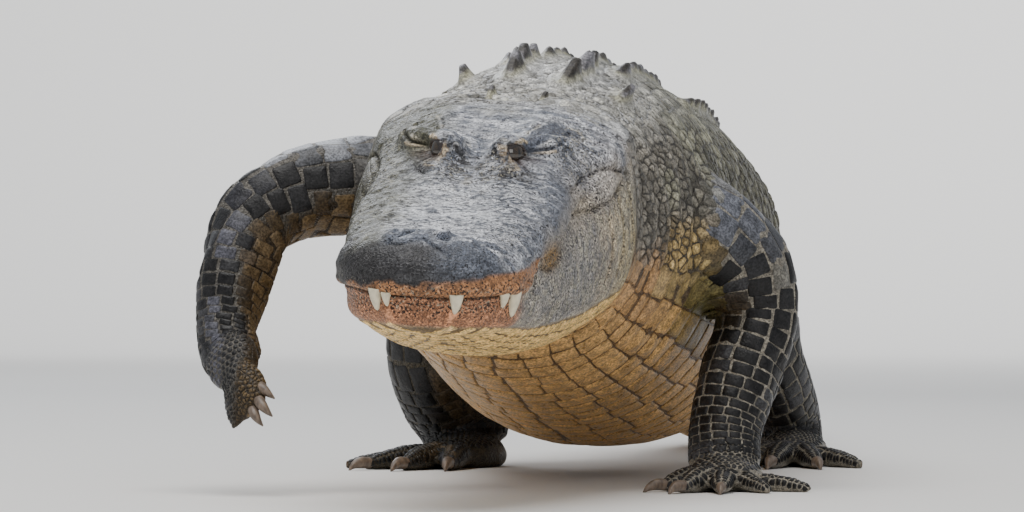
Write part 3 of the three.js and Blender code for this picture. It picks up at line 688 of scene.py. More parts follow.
def seen(pixels, tree):
    """Where a line drawn on the picture lies on the skin: a point for each pixel or two along it."""
    turn = math.radians(CAMERA_AZIMUTH)
    ahead = np.array([-math.sin(turn), math.cos(turn), 0])
    right = np.array([math.cos(turn), math.sin(turn), 0])
    focal = CAMERA_LENS / SENSOR * PICTURE[0]
    line = np.array(pixels, float)
    steps = walk(line, lambda share: 2.0) * (len(line) - 1)
    across = np.interp(steps, np.arange(len(line)), line[:, 0]) - PICTURE[0] / 2
    down = np.interp(steps, np.arange(len(line)), line[:, 1]) - PICTURE[1] / 2
    found = []
    for u, v in zip(across, down):
        way = ahead * focal + right * u - np.array([0, 0, v])
        place, _, _, _ = tree.ray_cast(Vector(CAMERA), Vector(way).normalized())
        if place is not None:
            found.append(np.array(place) / MM - ORIGIN)
    return np.array(found)


def other_side(line, tree):
    """The same line on the head's other side."""
    x, f, z = head_place(line)
    return np.array([on_skin(point, tree)[0] for point in head_point(-x, f, z)])


def near_line(p, line, width):
    """1 on a line of close points and 0 away from it."""
    close = np.flatnonzero(((p > line.min(0) - 3 * width) & (p < line.max(0) + 3 * width)).all(1))
    away = np.full(len(close), 1e9)
    for point in line:
        away = np.minimum(away, ((p[close] - point) ** 2).sum(1))
    share = np.zeros(len(p))
    share[close] = np.exp(-away / width**2)
    return share


def eye_terms(p, hand):
    """Points in an eye's own terms: along the opening, up across it, and out along the gaze."""
    x, f, z = head_place(p)
    gaze = unit([hand * EYE_GAZE[0], -EYE_GAZE[1], EYE_GAZE[2]])
    level = unit(np.cross(gaze, [0, 0, 1]))
    upright = np.cross(level, gaze)
    turn = math.radians(EYE_TILT) * hand
    long = level * math.cos(turn) + upright * math.sin(turn)
    high = upright * math.cos(turn) - level * math.sin(turn)
    d = np.stack([x - hand * EYE["x"], -f + EYE["f"], z - EYE["z"]], -1)
    return d @ long, d @ high, d @ gaze, np.linalg.norm(d, axis=1)


def lid_share(u, v, out, away):
    """How far from the gaze a point lies, 1 being the edge of the lids."""
    off = np.arccos(np.clip(out / np.maximum(away, 1e-3), -1, 1))
    flat = np.maximum(np.hypot(u, v), 1e-3)
    long, high = (np.arcsin(half / EYE["radius"]) for half in EYE_OPENING)
    return off * ((np.abs(u) / flat / long) ** 1.7 + (np.abs(v) / flat / high) ** 1.7) ** (1 / 1.7)


def open_eyes(p):
    """Sinks the skin behind the eyeball within the lids' opening and lays the lids' edges round it."""
    for hand in (-1, 1):
        u, v, out, away = eye_terms(p, hand)
        share = lid_share(u, v, out, away)
        lid = EYE["radius"] + 1.2 + 2.4 * smooth(1.0, 1.25, share)
        spread = lid + (away - lid) * smooth(1.15, 2.1, share)
        reach = np.where(share < 1, EYE["radius"] - 4, np.minimum(spread, np.maximum(away, lid)))
        hold = np.where((away < 46) & (out > 0), reach / np.maximum(away, 1), 1)
        centre = head_point(hand * EYE["x"], EYE["f"], EYE["z"])
        p = centre + (p - centre) * hold[:, None]
    return p


# Creases and ridges, as lines on the picture: width and height in millimetres, whether the other side has
# them too, how much painted shade darkens them, and their pixels. A pale one's darkness is negative.
CREASES = [
    # where the lids meet, the eye's rim and the lower lid
    (2.4, -6, True, 0.95, [(529, 146), (534, 149), (546, 150), (555, 147), (564, 142), (571, 132)]),
    (3.2, 2.8, True, -1.0, [(507, 160), (509, 155), (512, 149), (517, 143), (523, 140), (527, 142)]),
    (2.6, 2.2, True, -0.8,
     [(506, 169), (513, 171), (520, 169), (527, 162), (534, 156), (546, 153), (557, 151)]),
    (2.0, -3, True, 0.8, [(503, 174), (510, 178), (520, 176), (529, 169), (537, 161), (548, 157)]),
    # across the brow
    (1.8, -2.5, False, 0.7,
     [(447, 103), (464, 104), (478, 100), (492, 102), (513, 105), (531, 107), (548, 109)]),
    (1.8, -2.5, False, 0.7,
     [(447, 112), (470, 113), (487, 118), (502, 119), (520, 115), (534, 116), (556, 119)]),
    (1.5, -2, False, 0.6, [(459, 117), (478, 118), (496, 124), (506, 120)]),
    (1.5, -2, False, 0.6, [(470, 108), (486, 109), (505, 112), (520, 110)]),
    (1.5, -2, False, 0.6, [(556, 119), (576, 124), (588, 131)]),
    (1.8, -2, True, 0.5, [(524, 138), (533, 128), (546, 120), (562, 119), (572, 126)]),
    # above and below the jaw's muscle, and behind the jaw
    (3.0, -6, True, 0.5, [(572, 193), (582, 181), (595, 172), (610, 169), (625, 171)]),
    (3.5, -5, True, 0.35, [(572, 214), (593, 210), (610, 200), (622, 184)]),
    (3.5, -7, True, 0.6, [(627, 174), (632, 208), (634, 237), (629, 268)]),
    (2.6, -4, True, 0.5, [(619, 200), (624, 225), (624, 250), (617, 275)]),
    (2.6, -3.5, True, 0.4, [(610, 220), (614, 240), (612, 262), (604, 284)]),
    (1.6, -3.5, False, 0.8, [(513, 353), (540, 346), (572, 338), (585, 324), (601, 307)]),  # under the jaw
    (2.8, -7, False, 1.0, [(388, 240), (396, 236), (404, 233), (413, 231)]),  # nostrils
    (4.2, -12, False, 1.0, [(434, 230), (438, 232), (443, 235), (447, 238)]),
    (1.6, -2.5, False, 0.7, [(388, 243), (401, 244), (413, 240), (421, 235)]),
    (1.6, -2.5, False, 0.6, [(422, 238), (432, 244), (441, 250), (449, 256)]),
    (2.6, 1.8, False, 0, [(384, 236), (396, 231), (408, 227), (418, 228)]),
    (2.6, 1.8, False, 0, [(430, 225), (440, 227), (449, 233)]),
    (1.4, -1.8, False, 0.7, [(420, 236), (430, 242), (440, 250)]),
    (3.0, -4, True, 0.3, [(541, 268), (548, 270), (556, 264), (561, 253)]),  # the pocket behind the lip
    (2.0, -4, False, 0.8, [(533, 296), (536, 280), (536, 264), (541, 254)]),  # the lip's rear edge
    (2.6, -3, False, 0.95, [(413, 158), (418, 166), (423, 173)]),  # before the right eye
    (2.2, -2.5, False, 0.95, [(480, 152), (480, 158)]),  # dark pits between the eyes
    (2.2, -2.5, False, 0.95, [(494, 148), (496, 155), (500, 162)]),
    (1.8, -2, False, 0.9, [(476, 168), (481, 166), (487, 166), (492, 170)]),
    (1.8, -2, False, 0.9, [(490, 172), (491, 178)]),
    (1.8, -2, False, 0.8, [(441, 168), (443, 172)]),
]


def muscle_place(p):
    """How far points lie from the middle of the jaw's muscle, 1 being its rim."""
    x, f, z = head_place(p)
    return ((np.abs(x) - 130) / 34) ** 2 + ((f - 76) / 44) ** 2 + ((z - 50 - 0.12 * (76 - f)) / 19) ** 2


def sculpt(p, lines):
    """How far the skin's folds and wrinkles stand out at each point."""
    _, f, z = head_place(p)
    y, angle, _ = body_place(p)
    lip = z - head["lip"](f)
    on_head = smooth(-40, 30, f)
    roof = on_head * smooth(0, 8, lip)
    rise = 0.8 * noise(p, 30, 1) + 0.5 * noise(p, 13, 2)
    rise += roof * (1.6 * noise(p, 16, 3) + 1.2 * noise(p, 7, 4)) * smooth(455, 430, f)
    open_part = smooth(330, 345, f)
    rise += open_part * (1.6 * np.exp(-(((lip - 8) / 5) ** 2)) - 3.5 * np.exp(-((lip / 1.5) ** 2)))
    rise -= 1.2 * (1 - open_part) * on_head * np.exp(-((lip / 1.6) ** 2))
    rise += 9 * np.exp(-(muscle_place(p) ** 2)) * on_head
    for line, width, high, _ in lines:
        rise += high * near_line(p, line, width)
    # wrinkles across the nape
    nape = smooth(-330, -270, y) * smooth(-60, -140, y) * smooth(1.15, 0.6, np.abs(angle))
    wave = np.sin((y + 9 * noise(p, 45, 5)) * 2 * math.pi / 17)
    rise += nape * 2.4 * wave * (0.5 + 0.5 * noise(p, 30, 6))
    # loose folds down the neck's sides and the flanks
    folds = smooth(-300, -200, y) * smooth(120, -60, y) * np.exp(-(((np.abs(angle) - 1.5) / 0.7) ** 2))
    rise += folds * 3.2 * np.sin((y + 20 * noise(p, 80, 7) + 30 * np.abs(angle)) * 2 * math.pi / 46)
    flank = smooth(80, 200, y) * smooth(800, 650, y) * np.exp(-(((np.abs(angle) - 1.35) / 0.4) ** 2))
    rise += flank * 3.0 * np.sin((y + 24 * noise(p, 90, 8) - 40 * np.abs(angle)) * 2 * math.pi / 58)
    return rise


# The slate patch of a closed part of the lid, as a line on the picture, and its half width in millimetres
LID_PATCH = [(531, 141), (540, 135), (550, 131), (561, 130), (570, 134)]
LID_HALF = 13

smooth_tree = tree_of(skin)
lid_line = seen(LID_PATCH, smooth_tree)
lid_lines = [(lid_line, 1), (other_side(lid_line, smooth_tree), -1)]
lines = []
for width, high, paired, dark, pixels in CREASES:
    line = seen(pixels, smooth_tree)
    lines.append((line, width, high, dark))
    if paired:
        lines.append((other_side(line, smooth_tree), width, high, dark))
p = p + normals_of(solid) * sculpt(p, lines)[:, None]
p = open_eyes(p)
p[:, 2] = np.maximum(p[:, 2], 0)
set_points(solid, p)


# Colours, as the hide has them in even light, with painted sheen, highlights and shade among them
SILVER = (0.32, 0.325, 0.355)
# pale painted sheen of the wet hide
PAINTED_SHEEN = (0.80, 0.81, 0.85)
CREAM = (0.52, 0.47, 0.36)
SLATE = (0.115, 0.13, 0.165)
CHARCOAL = (0.035, 0.034, 0.036)
# the head's right side: olive hide darkened with painted shade
SHADED_OLIVE = (0.07, 0.068, 0.045)
LIP = (0.40, 0.19, 0.085)
PINK = (0.54, 0.25, 0.13)
CHIN = (0.76, 0.51, 0.19)
CHEEK_GREY = (0.58, 0.48, 0.35)
MUSCLE = (0.66, 0.60, 0.54)
JOWL = (0.58, 0.48, 0.28)
POCKET = (0.30, 0.17, 0.045)
LID_SLATE = (0.10, 0.11, 0.14)
LID_RIM = (0.62, 0.50, 0.34)
LOWER_LID = (0.22, 0.155, 0.09)
# paler flecks within that painted shade
SHADED_OLIVE_PALE = (0.26, 0.25, 0.18)
CHEEK_CREAM = (0.50, 0.46, 0.37)
CHEEK_BLUE = (0.40, 0.41, 0.43)
CHEEK_PALE = (0.66, 0.60, 0.44)
# painted shade in the seam between the jaws
MOUTH_SHADE = (0.02, 0.012, 0.01)
# painted shade in creases
CREASE_SHADE = (0.014, 0.012, 0.012)
LID_EDGE = (0.06, 0.035, 0.025)
CHIN_LINE = (0.06, 0.036, 0.016)
NAPE = (0.36, 0.35, 0.32)
SIDE_PALE = (0.29, 0.28, 0.20)
BACK_DARK = (0.05, 0.046, 0.035)
BACK_PALE = (0.38, 0.37, 0.31)
TAIL_BAND = (0.22, 0.2, 0.11)
ARM_SLATE = (0.13, 0.13, 0.16)
BACK = (0.19, 0.185, 0.15)
FLANK = (0.10, 0.095, 0.07)
NECK_SIDE = (0.16, 0.145, 0.12)
TAN = (0.41, 0.235, 0.10)
BELLY = (0.50, 0.30, 0.115)
BELLY_LINE = (0.09, 0.05, 0.022)
# painted shade in the armpit
ARMPIT_SHADE = (0.13, 0.11, 0.04)
GOLD = (0.34, 0.24, 0.10)
SHOULDER = (0.115, 0.12, 0.14)
SHOULDER_PALE = (0.36, 0.34, 0.29)
BLACK = (0.012, 0.0115, 0.012)
LIMB_GREY = (0.05, 0.05, 0.054)
LIMB_LINES = {
    "left_arm": (0.26, 0.235, 0.19), "right_arm": (0.11, 0.10, 0.085),
    "left_leg": (0.20, 0.18, 0.14), "right_leg": (0.055, 0.045, 0.028),
}
BROWN_LINE = (0.03, 0.021, 0.012)
# painted highlight on the right arm's top
ARM_TOP_HIGHLIGHT = (0.27, 0.28, 0.31)
LIMB_BROWN = (0.13, 0.088, 0.042)
DARK_LINE = (0.055, 0.05, 0.042)
TAIL_TOP = (0.07, 0.066, 0.05)


def mix(a, b, share):
    a = np.asarray(a, float)
    b = np.asarray(b, float)
    share = np.clip(np.asarray(share, float), 0, 1)[:, None]
    return a * (1 - share) + b * share


def head_colour(p):
    x, f, z = head_place(p)
    ax = np.abs(x)
    lip = z - head["lip"](f)
    blotch = noise(p, 26, 11)
    fine = noise(p, 9, 12)
    grain = noise(p, 4, 15)
    # the upper jaw and the head's roof: silver, mottled light and dark, with painted wet sheen
    middle = smooth(58, 26, ax + 0.1 * np.abs(f - 170)) * smooth(80, 120, f) * smooth(330, 260, f)
    top = mix(SILVER, CREAM, 0.85 * smooth(0.15, 0.3, noise(p, 12, 13)) * middle)
    top = mix(top, PAINTED_SHEEN, 0.4 * smooth(0.15, 0.6, fine + 0.6 * grain))
    top = mix(top, SLATE, 0.85 * smooth(-0.05, -0.45, blotch + 0.5 * fine + 0.3 * grain))
    # streaks across the roof: painted glints on them and painted shade in the valleys between
    wave = noise(p * [0.35, 1, 1], 5.5, 19) + 0.4 * grain
    top = mix(top, PAINTED_SHEEN, 0.65 * smooth(0.12, 0.45, wave))
    top = mix(top, SLATE, 0.8 * smooth(-0.15, -0.5, wave))
    # painted wet sheen over the snout's top
    snout = smooth(215, 260, f) * smooth(440, 415, f) * smooth(50, 10, x) * smooth(-105, -85, x)
    top = mix(top, PAINTED_SHEEN, 0.85 * snout * smooth(-0.4, 0.1, wave))
    top = mix(top, SLATE, 0.72 * smooth(62, 96, x - 0.05 * f + 8 * blotch) * smooth(90, 170, f))
    # painted shade over the head's right side, on its olive hide
    shaded_olive = mix(SHADED_OLIVE, SHADED_OLIVE_PALE, 0.5 * smooth(0.15, 0.6, fine + 0.6 * grain))
    top = mix(top, shaded_olive, 0.95 * smooth(34, 68, -x + 0.02 * f + 14 * blotch))
    for line, hand in lid_lines:
        lid = near_line(p, line, LID_HALF)
        rim = smooth(0.08, 0.16, lid) * smooth(0.34, 0.22, lid)
        top = mix(top, CREAM, 0.6 * rim * smooth(-0.3, 0.3, fine))
        # the right lid takes that side's painted shade
        top = mix(top, LID_SLATE if hand > 0 else SHADED_OLIVE, 0.96 * smooth(0.24, 0.4, lid))
    near_eyes = smooth(84, 66, ax) * smooth(138, 156, f) * smooth(240, 205, f)
    top = mix(top, SLATE, 0.35 * near_eyes)
    blots = smooth(0.1, 0.22, noise(p, 7, 17) + 0.5 * noise(p, 16, 18)) * near_eyes
    top = mix(top, CHARCOAL, 0.95 * blots)
    front = smooth(440, 456, f) * smooth(57, 47, z)
    nose = mix(CHARCOAL, SLATE, 0.8 * smooth(-5, 45, x) * smooth(0, 30, lip - 8))
    top = mix(top, nose, front * 0.96)
    top = mix(top, SLATE, 0.75 * smooth(425, 437, f) * smooth(462, 452, f) * smooth(52, 30, np.abs(x + 6)))
    # painted shade on the snout's right side
    top = mix(top, CHARCOAL, 0.85 * smooth(72, 92, -x) * smooth(350, 420, f))
    high = np.interp(x, [-100, -80, -30, 20, 50, 85, 110], [2, 8, 14, 12, 20, 30, 30])
    band = np.where(f > 345, high + 7 * blotch + 4 * fine, 0)
    top = mix(top, LIP, smooth(band + 4, band - 3, lip) * smooth(335, 345, f) * smooth(24, 18, z))
    # the lower jaw
    low = mix(CHEEK_GREY, JOWL, smooth(128, 160, ax) * smooth(120, 30, f))
    low = mix(low, SLATE, 0.35 * smooth(0.05, 0.5, noise(p, 34, 14)))
    low = mix(low, CHEEK_CREAM, 0.5 * smooth(0.1, 0.6, noise(p, 22, 16)))
    low = mix(low, CHEEK_BLUE, 0.55 * smooth(90, 210, f))
    low = mix(low, SLATE, 0.5 * smooth(0.05, 0.4, noise(p * [1, 1, 0.7], 7, 91)))
    low = mix(low, CHEEK_PALE, 0.5 * smooth(0.1, 0.4, noise(p, 6, 92)))
    # painted shade on the lower jaw's right side
    low = mix(low, SHADED_OLIVE, 0.7 * smooth(70, 130, -x))
    low = mix(low, PINK, smooth(375, 425, f) * smooth(chin_edge(f) - 6, chin_edge(f) + 4, z))
    low = mix(low, CHIN, smooth(chin_edge(f) + 3, chin_edge(f) - 5, z))
    made = mix(low, top, smooth(-1, 1, lip))
    close = smooth(330, 310, f) * np.exp(-((lip / 22) ** 2)) * (ax > 80)
    made = mix(made, mix(SLATE, CHEEK_GREY, 0.45 + 0.5 * blotch), 0.75 * close)
    made = mix(made, MUSCLE, 0.7 * np.exp(-(muscle_place(p) ** 2)))
    # painted shade over the rear of the head's right side
    made = mix(made, shaded_olive, 0.9 * smooth(80, 104, -x + 10 * blotch) * smooth(360, 280, f))
    pocket = np.exp(-(((x - 112) / 20) ** 2) - ((f - 300) / 30) ** 2 - ((z - 12) / 13) ** 2)
    made = mix(made, POCKET, 1.5 * pocket)
    # painted shade along the seam where the jaws meet
    made = mix(made, MOUTH_SHADE, 0.85 * np.exp(-((lip / 1.5) ** 2)) * smooth(330, 350, f))
    # painted shade in the creases, pits and nostrils; pale ridges take the lid rim's colour
    for line, width, _, dark in lines:
        share = smooth(0.1, 0.65, near_line(p, line, width * 0.9))
        made = mix(made, CREASE_SHADE if dark > 0 else LID_RIM, abs(dark) * share)
    for hand in (-1, 1):
        u, v, out, away = eye_terms(p, hand)
        share = lid_share(u, v, out, away)
        near = (away < 30) & (out > 0)
        lower = smooth(1.9, 1.6, share) * smooth(2, -4, v) * near
        dotted = mix(mix(LOWER_LID, LID_RIM, smooth(0.1, 0.5, grain)), CHARCOAL, smooth(-0.05, -0.4, grain))
        made = mix(made, dotted, 0.9 * lower)
        made = mix(made, LID_EDGE, smooth(1.12, 1.02, share) * near)
    return made


def trunk_colour(p):
    y, angle, _ = body_place(p)
    a = np.abs(angle)
    blotch = noise(p, 60, 21) + 0.5 * noise(p, 24, 22)
    fine = noise(p, 9, 23) + 0.6 * noise(p, 4, 24)
    on_neck = smooth(140, -60, y)
    back = mix(BACK, NAPE, on_neck)
    # painted sheen along the nape's top
    back = mix(back, PAINTED_SHEEN, 0.3 * on_neck * smooth(-210, -110, y) * smooth(0.5, 0.2, a))
    side = mix(FLANK, NECK_SIDE, smooth(60, -120, y))
    side = mix(side, SIDE_PALE, 0.6 * smooth(0.15, 0.8, blotch))
    back = mix(back, BACK_DARK, 0.7 * smooth(0.1, 0.8, -fine + 0.3 * blotch))
    back = mix(back, BACK_PALE, 0.6 * smooth(0.3, 1.0, fine))
    tan = mix(BELLY, TAN, smooth(-60, -160, y) * smooth(2.4, 1.9, a))
    made = mix(back, side, smooth(0.55, 0.95, a + 0.08 * blotch))
    made = mix(made, tan, smooth(1.5, 1.85, a + 0.16 * blotch))
    gold = smooth(-170, -120, y) * smooth(20, -30, y) * smooth(1.35, 1.55, a) * smooth(2.0, 1.8, a)
    # painted shade on the lower flank behind the arm and in the armpit
    shaded = smooth(0, 60, y) * smooth(2.35, 1.95, a) * smooth(1.4, 1.6, a)
    armpit_shade = smooth(-70, 0, y) * smooth(140, 60, y) * smooth(2.15, 1.9, a) * smooth(1.5, 1.7, a)
    for colour, share in ((GOLD, gold), (BELLY_LINE, 0.6 * shaded), (ARMPIT_SHADE, armpit_shade)):
        made = mix(made, colour, share)
    made = mix(made, mix(TAIL_TOP, BELLY, smooth(2.1, 2.7, a + 0.1 * blotch)), smooth(880, 1050, y))
    bands = smooth(0.2, 0.8, np.sin(y / 38 + 1.5 * blotch)) * smooth(1100, 1300, y) * smooth(2.4, 2, a)
    return mix(made, TAIL_BAND, 0.35 * bands)


def trunk_line(p):
    _, angle, _ = body_place(p)
    return mix(DARK_LINE, BELLY_LINE, smooth(1.6, 2.0, np.abs(angle)))


def limb_colour(p, name, t):
    """A limb's own colour and that of the lines between its scales."""
    patch = noise(p, 34, 31)
    middle = limb_tubes[name].path(t)
    outward = (p[:, 0] - middle[:, 0]) * LIMBS[name]["hand"]
    up = p[:, 2] - middle[:, 2]
    made = mix(BLACK, LIMB_GREY, smooth(0.1, 0.6, patch) * 0.8)
    if name == "left_arm":
        made = mix(made, SHOULDER, smooth(0.36, 0.2, t) * smooth(-20, 20, up))
        pale = smooth(0.12, 0.2, t) * smooth(0.5, 0.38, t) * smooth(0, 25, outward)
        made = mix(made, SHOULDER_PALE, 0.6 * pale * smooth(0.3, 0.55, noise(p, 26, 32)))
        brown = 0.5 * smooth(0, -30, outward) * smooth(0.2, 0.35, t) * smooth(0.62, 0.5, t)
    elif name == "right_arm":
        # painted highlight along the arm's top
        made = mix(made, ARM_TOP_HIGHLIGHT, smooth(38, 52, up + 8 * patch) * smooth(0.46, 0.34, t))
        slate = smooth(0, 10, outward) * smooth(22, 12, outward) * smooth(0.4, 0.5, t)
        made = mix(made, ARM_SLATE, 0.6 * slate)
        brown = np.maximum(
            smooth(-10, -28, up + 8 * patch) * smooth(0.6, 0.45, t),
            0.8 * smooth(14, 28, -outward + 6 * patch) * smooth(0.42, 0.55, t),
        )
    else:
        share = 0.5 if name == "right_leg" else 0.15
        brown = share * smooth(-20, 20, -outward) * smooth(0.9, 0.6, t)
    return mix(made, LIMB_BROWN, brown), mix(LIMB_LINES[name], BROWN_LINE, 1.6 * brown)


# Which part of the skin each point belongs to
def limb_places(p):
    """For each limb, the points near it and their t, angle and distance out."""
    found = {}
    for name, tube in limb_tubes.items():
        low = tube.points.min(0) - 110
        high = tube.points.max(0) + 110
        low[1] -= 150
        near = np.flatnonzero(((p > low) & (p < high)).all(1))
        found[name] = (near, *tube.place(p[near]))
    return found


def foot_place(p, limb):
    """Points in a foot's own frame: left, towards the toes and up."""
    turn, at = foot_frame(limb)
    local = (p - at) @ turn
    return local[:, 0], -local[:, 1], local[:, 2]


def hide(p):
    """The hide's own colour, the colour of the lines between its scales, and how much of a limb it is."""
    _, _, trunk_out = body_place(p)
    on_head = head_share(p)
    tint = mix(trunk_colour(p), head_colour(p), on_head)
    line = trunk_line(p)
    limb_share = np.zeros(len(p))
    for name, (near, t, _, out) in limb_places(p).items():
        q = p[near]
        share = smooth(1.02, 1.14, trunk_out[near]) * smooth(1.5, 1.25, out)
        share = np.maximum(share, smooth(0.72, 0.8, t) * (out < 1.6))
        left, ahead, up = foot_place(q, LIMBS[name])
        reach = FEET[LIMBS[name]["foot"]]["palm"][1] + 170
        on_foot = (np.hypot(left, ahead) < reach) & (np.abs(up) < 75) & (trunk_out[near] > 1.03)
        share = np.maximum(share, on_foot)
        share = share * (1 - on_head[near])
        own, own_line = limb_colour(q, name, t)
        tint[near] = mix(tint[near], own, share)
        line[near] = mix(line[near], own_line, share)
        limb_share[near] = np.maximum(limb_share[near], share)
    return tint, line, limb_share, on_head


def speckle(p):
    """How densely dark specks lie on the head."""
    x, f, z = head_place(p)
    ax = np.abs(x)
    lip = z - head["lip"](f)
    blotch = noise(p, 42, 51)
    near_eyes = np.exp(-(((ax - 38) / 34) ** 2) - ((f - 180) / 42) ** 2)
    roof = 0.38 + 0.3 * blotch + 0.55 * near_eyes + 0.3 * smooth(60, 100, ax) * smooth(440, 380, f)
    front = 0.35 * smooth(430, 450, f)
    band = 0.75 * smooth(30, 10, lip) * smooth(330, 370, f)
    cheek = 0.72 - 0.2 * smooth(150, 60, f) + 0.25 * blotch
    jaw = np.where(f > 400, 0.75 * smooth(-34, -8, lip) + 0.12, cheek)
    chin = smooth(chin_edge(f) - 4, chin_edge(f) + 12, z)
    dense = np.where(lip > 0, np.maximum(np.maximum(roof, front), band), jaw * chin)
    for hand in (-1, 1):
        u, v, out, away = eye_terms(p, hand)
        dense = dense * np.where((away < 40) & (out > 0), smooth(1.3, 1.8, lid_share(u, v, out, away)), 1)
    return np.clip(dense, 0, 1) * head_share(p)


def head_share(p):
    x, _, z = head_place(p)
    _, _, trunk_out = body_place(p)
    y = p[:, 1] + 16 * noise(p, 34, 61) + 8 * noise(p, 12, 62)
    share = np.maximum(smooth(-300, -330, y), smooth(-262, -300, y) * smooth(1.0, 1.06, trunk_out))
    return share * smooth(190, 175, np.abs(x)) * smooth(-175, -160, z)


# Scales
def frames_of(normals, along):
    along = unit(along - normals * (along * normals).sum(1)[:, None])
    return along, np.cross(normals, along)


def build_scales(name, seeds, skin_tree, profile, around, bumpy):
    """Scales as shells rooted in the skin, either bricks of given half sizes or ones that fill their room.

    seeds has arrays: at, normal, along, half, gap, high, tint and uv.
    """
    chance = np.random.RandomState(SEED + len(name))
    at = seeds["at"]
    normals = seeds["normal"]
    e1, e2 = frames_of(normals, seeds["along"])
    turn = (np.arange(around) + 0.5) / around * 2 * math.pi
    way = np.stack([np.cos(turn), np.sin(turn)], -1)
    if seeds["half"] is None:
        tree = kdtree.KDTree(len(at))
        for i, spot in enumerate(at):
            tree.insert(spot, i)
        tree.balance()
        near = np.array([[i for _, i, _ in tree.find_n(spot, 13)] for spot in at])[:, 1:]
        away = at[near] - at[:, None]
        flat = np.stack([(away * e1[:, None]).sum(2), (away * e2[:, None]).sum(2)], -1)
        reach2 = (away**2).sum(2)
        facing = flat @ way.T
        room = np.where(facing > 1e-3, reach2[:, :, None] / 2 / np.maximum(facing, 1e-3), 1e9).min(1)
        cap = np.sqrt(np.sort(reach2, 1)[:, 5]) * 0.72
        r = np.maximum(np.minimum(room, cap[:, None]) - seeds["gap"][:, :1] / 2, 0.8)
        spread = r[:, :, None] * way[None]
    else:
        corner = power(way, 0.2)
        half = np.maximum(seeds["half"] - seeds["gap"] / 2, 0.8)
        spread = half[:, None] * corner[None] * (1 + chance.uniform(-0.04, 0.01, (len(at), around, 1)))
    flat_reach = spread[:, :, :1] * e1[:, None] + spread[:, :, 1:] * e2[:, None]
    rim = at[:, None] + flat_reach
    drop = np.zeros_like(rim)
    for i, k in np.ndindex(len(at), around):
        drop[i, k] = on_skin(rim[i, k], skin_tree)[0] - rim[i, k]
    rings = []
    shades = []
    patches = []
    high = seeds["high"][:, None, None] * normals[:, None]
    tilt = chance.uniform(-bumpy, bumpy, (len(at), 1, 1))
    # the rings' lightness: painted shade at each scale's rim, painted highlight on its crown
    for share, lift, shade in profile:
        lean = 1 + tilt * np.cos(turn)[None, :, None]
        rings.append(at[:, None] + flat_reach * share + drop * share**2 + high * lift * lean)
        shades.append(np.repeat((seeds["tint"] * shade)[:, None], around, 1))
        patches.append(seeds["uv"][:, None] + 0.0015 * share * way[None])
    last_lift, last_shade = profile[-1][1:]
    rings.append(at[:, None] + high * last_lift * 1.03)
    shades.append((seeds["tint"] * last_shade)[:, None])
    patches.append(seeds["uv"][:, None])
    verts = np.concatenate(rings, 1)
    shade = np.concatenate(shades, 1).reshape(-1, 3)
    patch = np.concatenate(patches, 1).reshape(-1, 2)
    per = verts.shape[1]
    i = np.arange(around)
    j = (i + 1) % around
    quads = np.concatenate([
        np.stack([i, j, around + j, around + i], 1) + k * around for k in range(len(profile) - 1)
    ])
    top = (len(profile) - 1) * around
    tris = np.stack([top + i, top + j, np.full(around, per - 1)], 1)
    first = (np.arange(len(at)) * per)[:, None, None]
    faces = (first + quads[None]).reshape(-1, 4).tolist() + (first + tris[None]).reshape(-1, 3).tolist()
    made = mesh_object(name, verts.reshape(-1, 3), faces)
    dress(made, shade, patch)
    return made


def dress(obj, tint, patch=None, **amounts):
    """Gives each point its colour and its amounts of specks, pebbles and so on."""
    mesh = obj.data
    layer = mesh.attributes.new("tint", "FLOAT_COLOR", "POINT")
    layer.data.foreach_set("color", np.column_stack([tint, np.ones(len(tint))]).ravel())
    for name, values in amounts.items():
        layer = mesh.attributes.new(name, "FLOAT", "POINT")
        layer.data.foreach_set("value", np.asarray(values, float).ravel())
    if patch is not None:
        corners = np.empty(len(mesh.loops), int)
        mesh.loops.foreach_get("vertex_index", corners)
        mesh.uv_layers.new(name="OFBake").data.foreach_set("uv", patch[corners].ravel())


def seeds_of(tree, on_limb, at, along, uv, half, gap, high, uneven):
    """Seeds on the skin. Those of a limb inside the trunk, or of the trunk inside a limb, are left out."""
    at = np.array(at, float)
    normal = np.empty_like(at)
    for i, spot in enumerate(at):
        at[i], normal[i] = on_skin(spot, tree)
    tint, _, limb_share, head_part = hide(at)
    keep = np.ones(len(at), bool)
    if on_limb is not None:
        keep = (limb_share > 0.5) == on_limb
        keep &= head_part < 0.5
    chance = np.random.RandomState(SEED + len(at))
    tint = tint * chance.uniform(1 - uneven, 1 + uneven, (len(at), 1))
    return {
        "at": at[keep], "normal": normal[keep], "along": np.array(along, float)[keep],
        "uv": np.array(uv, float)[keep], "tint": tint[keep],
        "half": None if half is None else np.array(half, float)[keep],
        "gap": np.tile(np.broadcast_to(gap, 2), (keep.sum(), 1)), "high": np.full(keep.sum(), high),
    }


def trunk_uv(y, angle):
    return 0.02 + 0.6 * (y + 400) / 3200, 0.02 + 0.46 * (angle + math.pi) / (2 * math.pi)


def trunk_seeds(y_from, y_to, step, from_angle, to_angle, across, jitter):
    """Rows of scales across the trunk, on both sides, between two angles."""
    chance = np.random.RandomState(SEED + int(y_from + 1000))
    at, along, uv = [], [], []
    y = y_from
    while y < y_to:
        angles = np.linspace(from_angle(y), to_angle(y), 120)
        line = body_point(np.full(120, y), angles)
        for share in walk(line, lambda share: across(y)):
            for hand in (-1, 1):
                wobble = chance.normal(0, jitter, 2)
                row = y + wobble[0] * step(y)
                angle = hand * (angles[0] + share * (angles[-1] - angles[0]))
                angle += wobble[1] * across(y) / float(body["wide"](y))
                at.append(body_point(np.array([row]), np.array([angle]))[0])
                along.append((0, 1, 0))
                uv.append(trunk_uv(row, angle))
        y += step(y)
    return at, along, uv, None


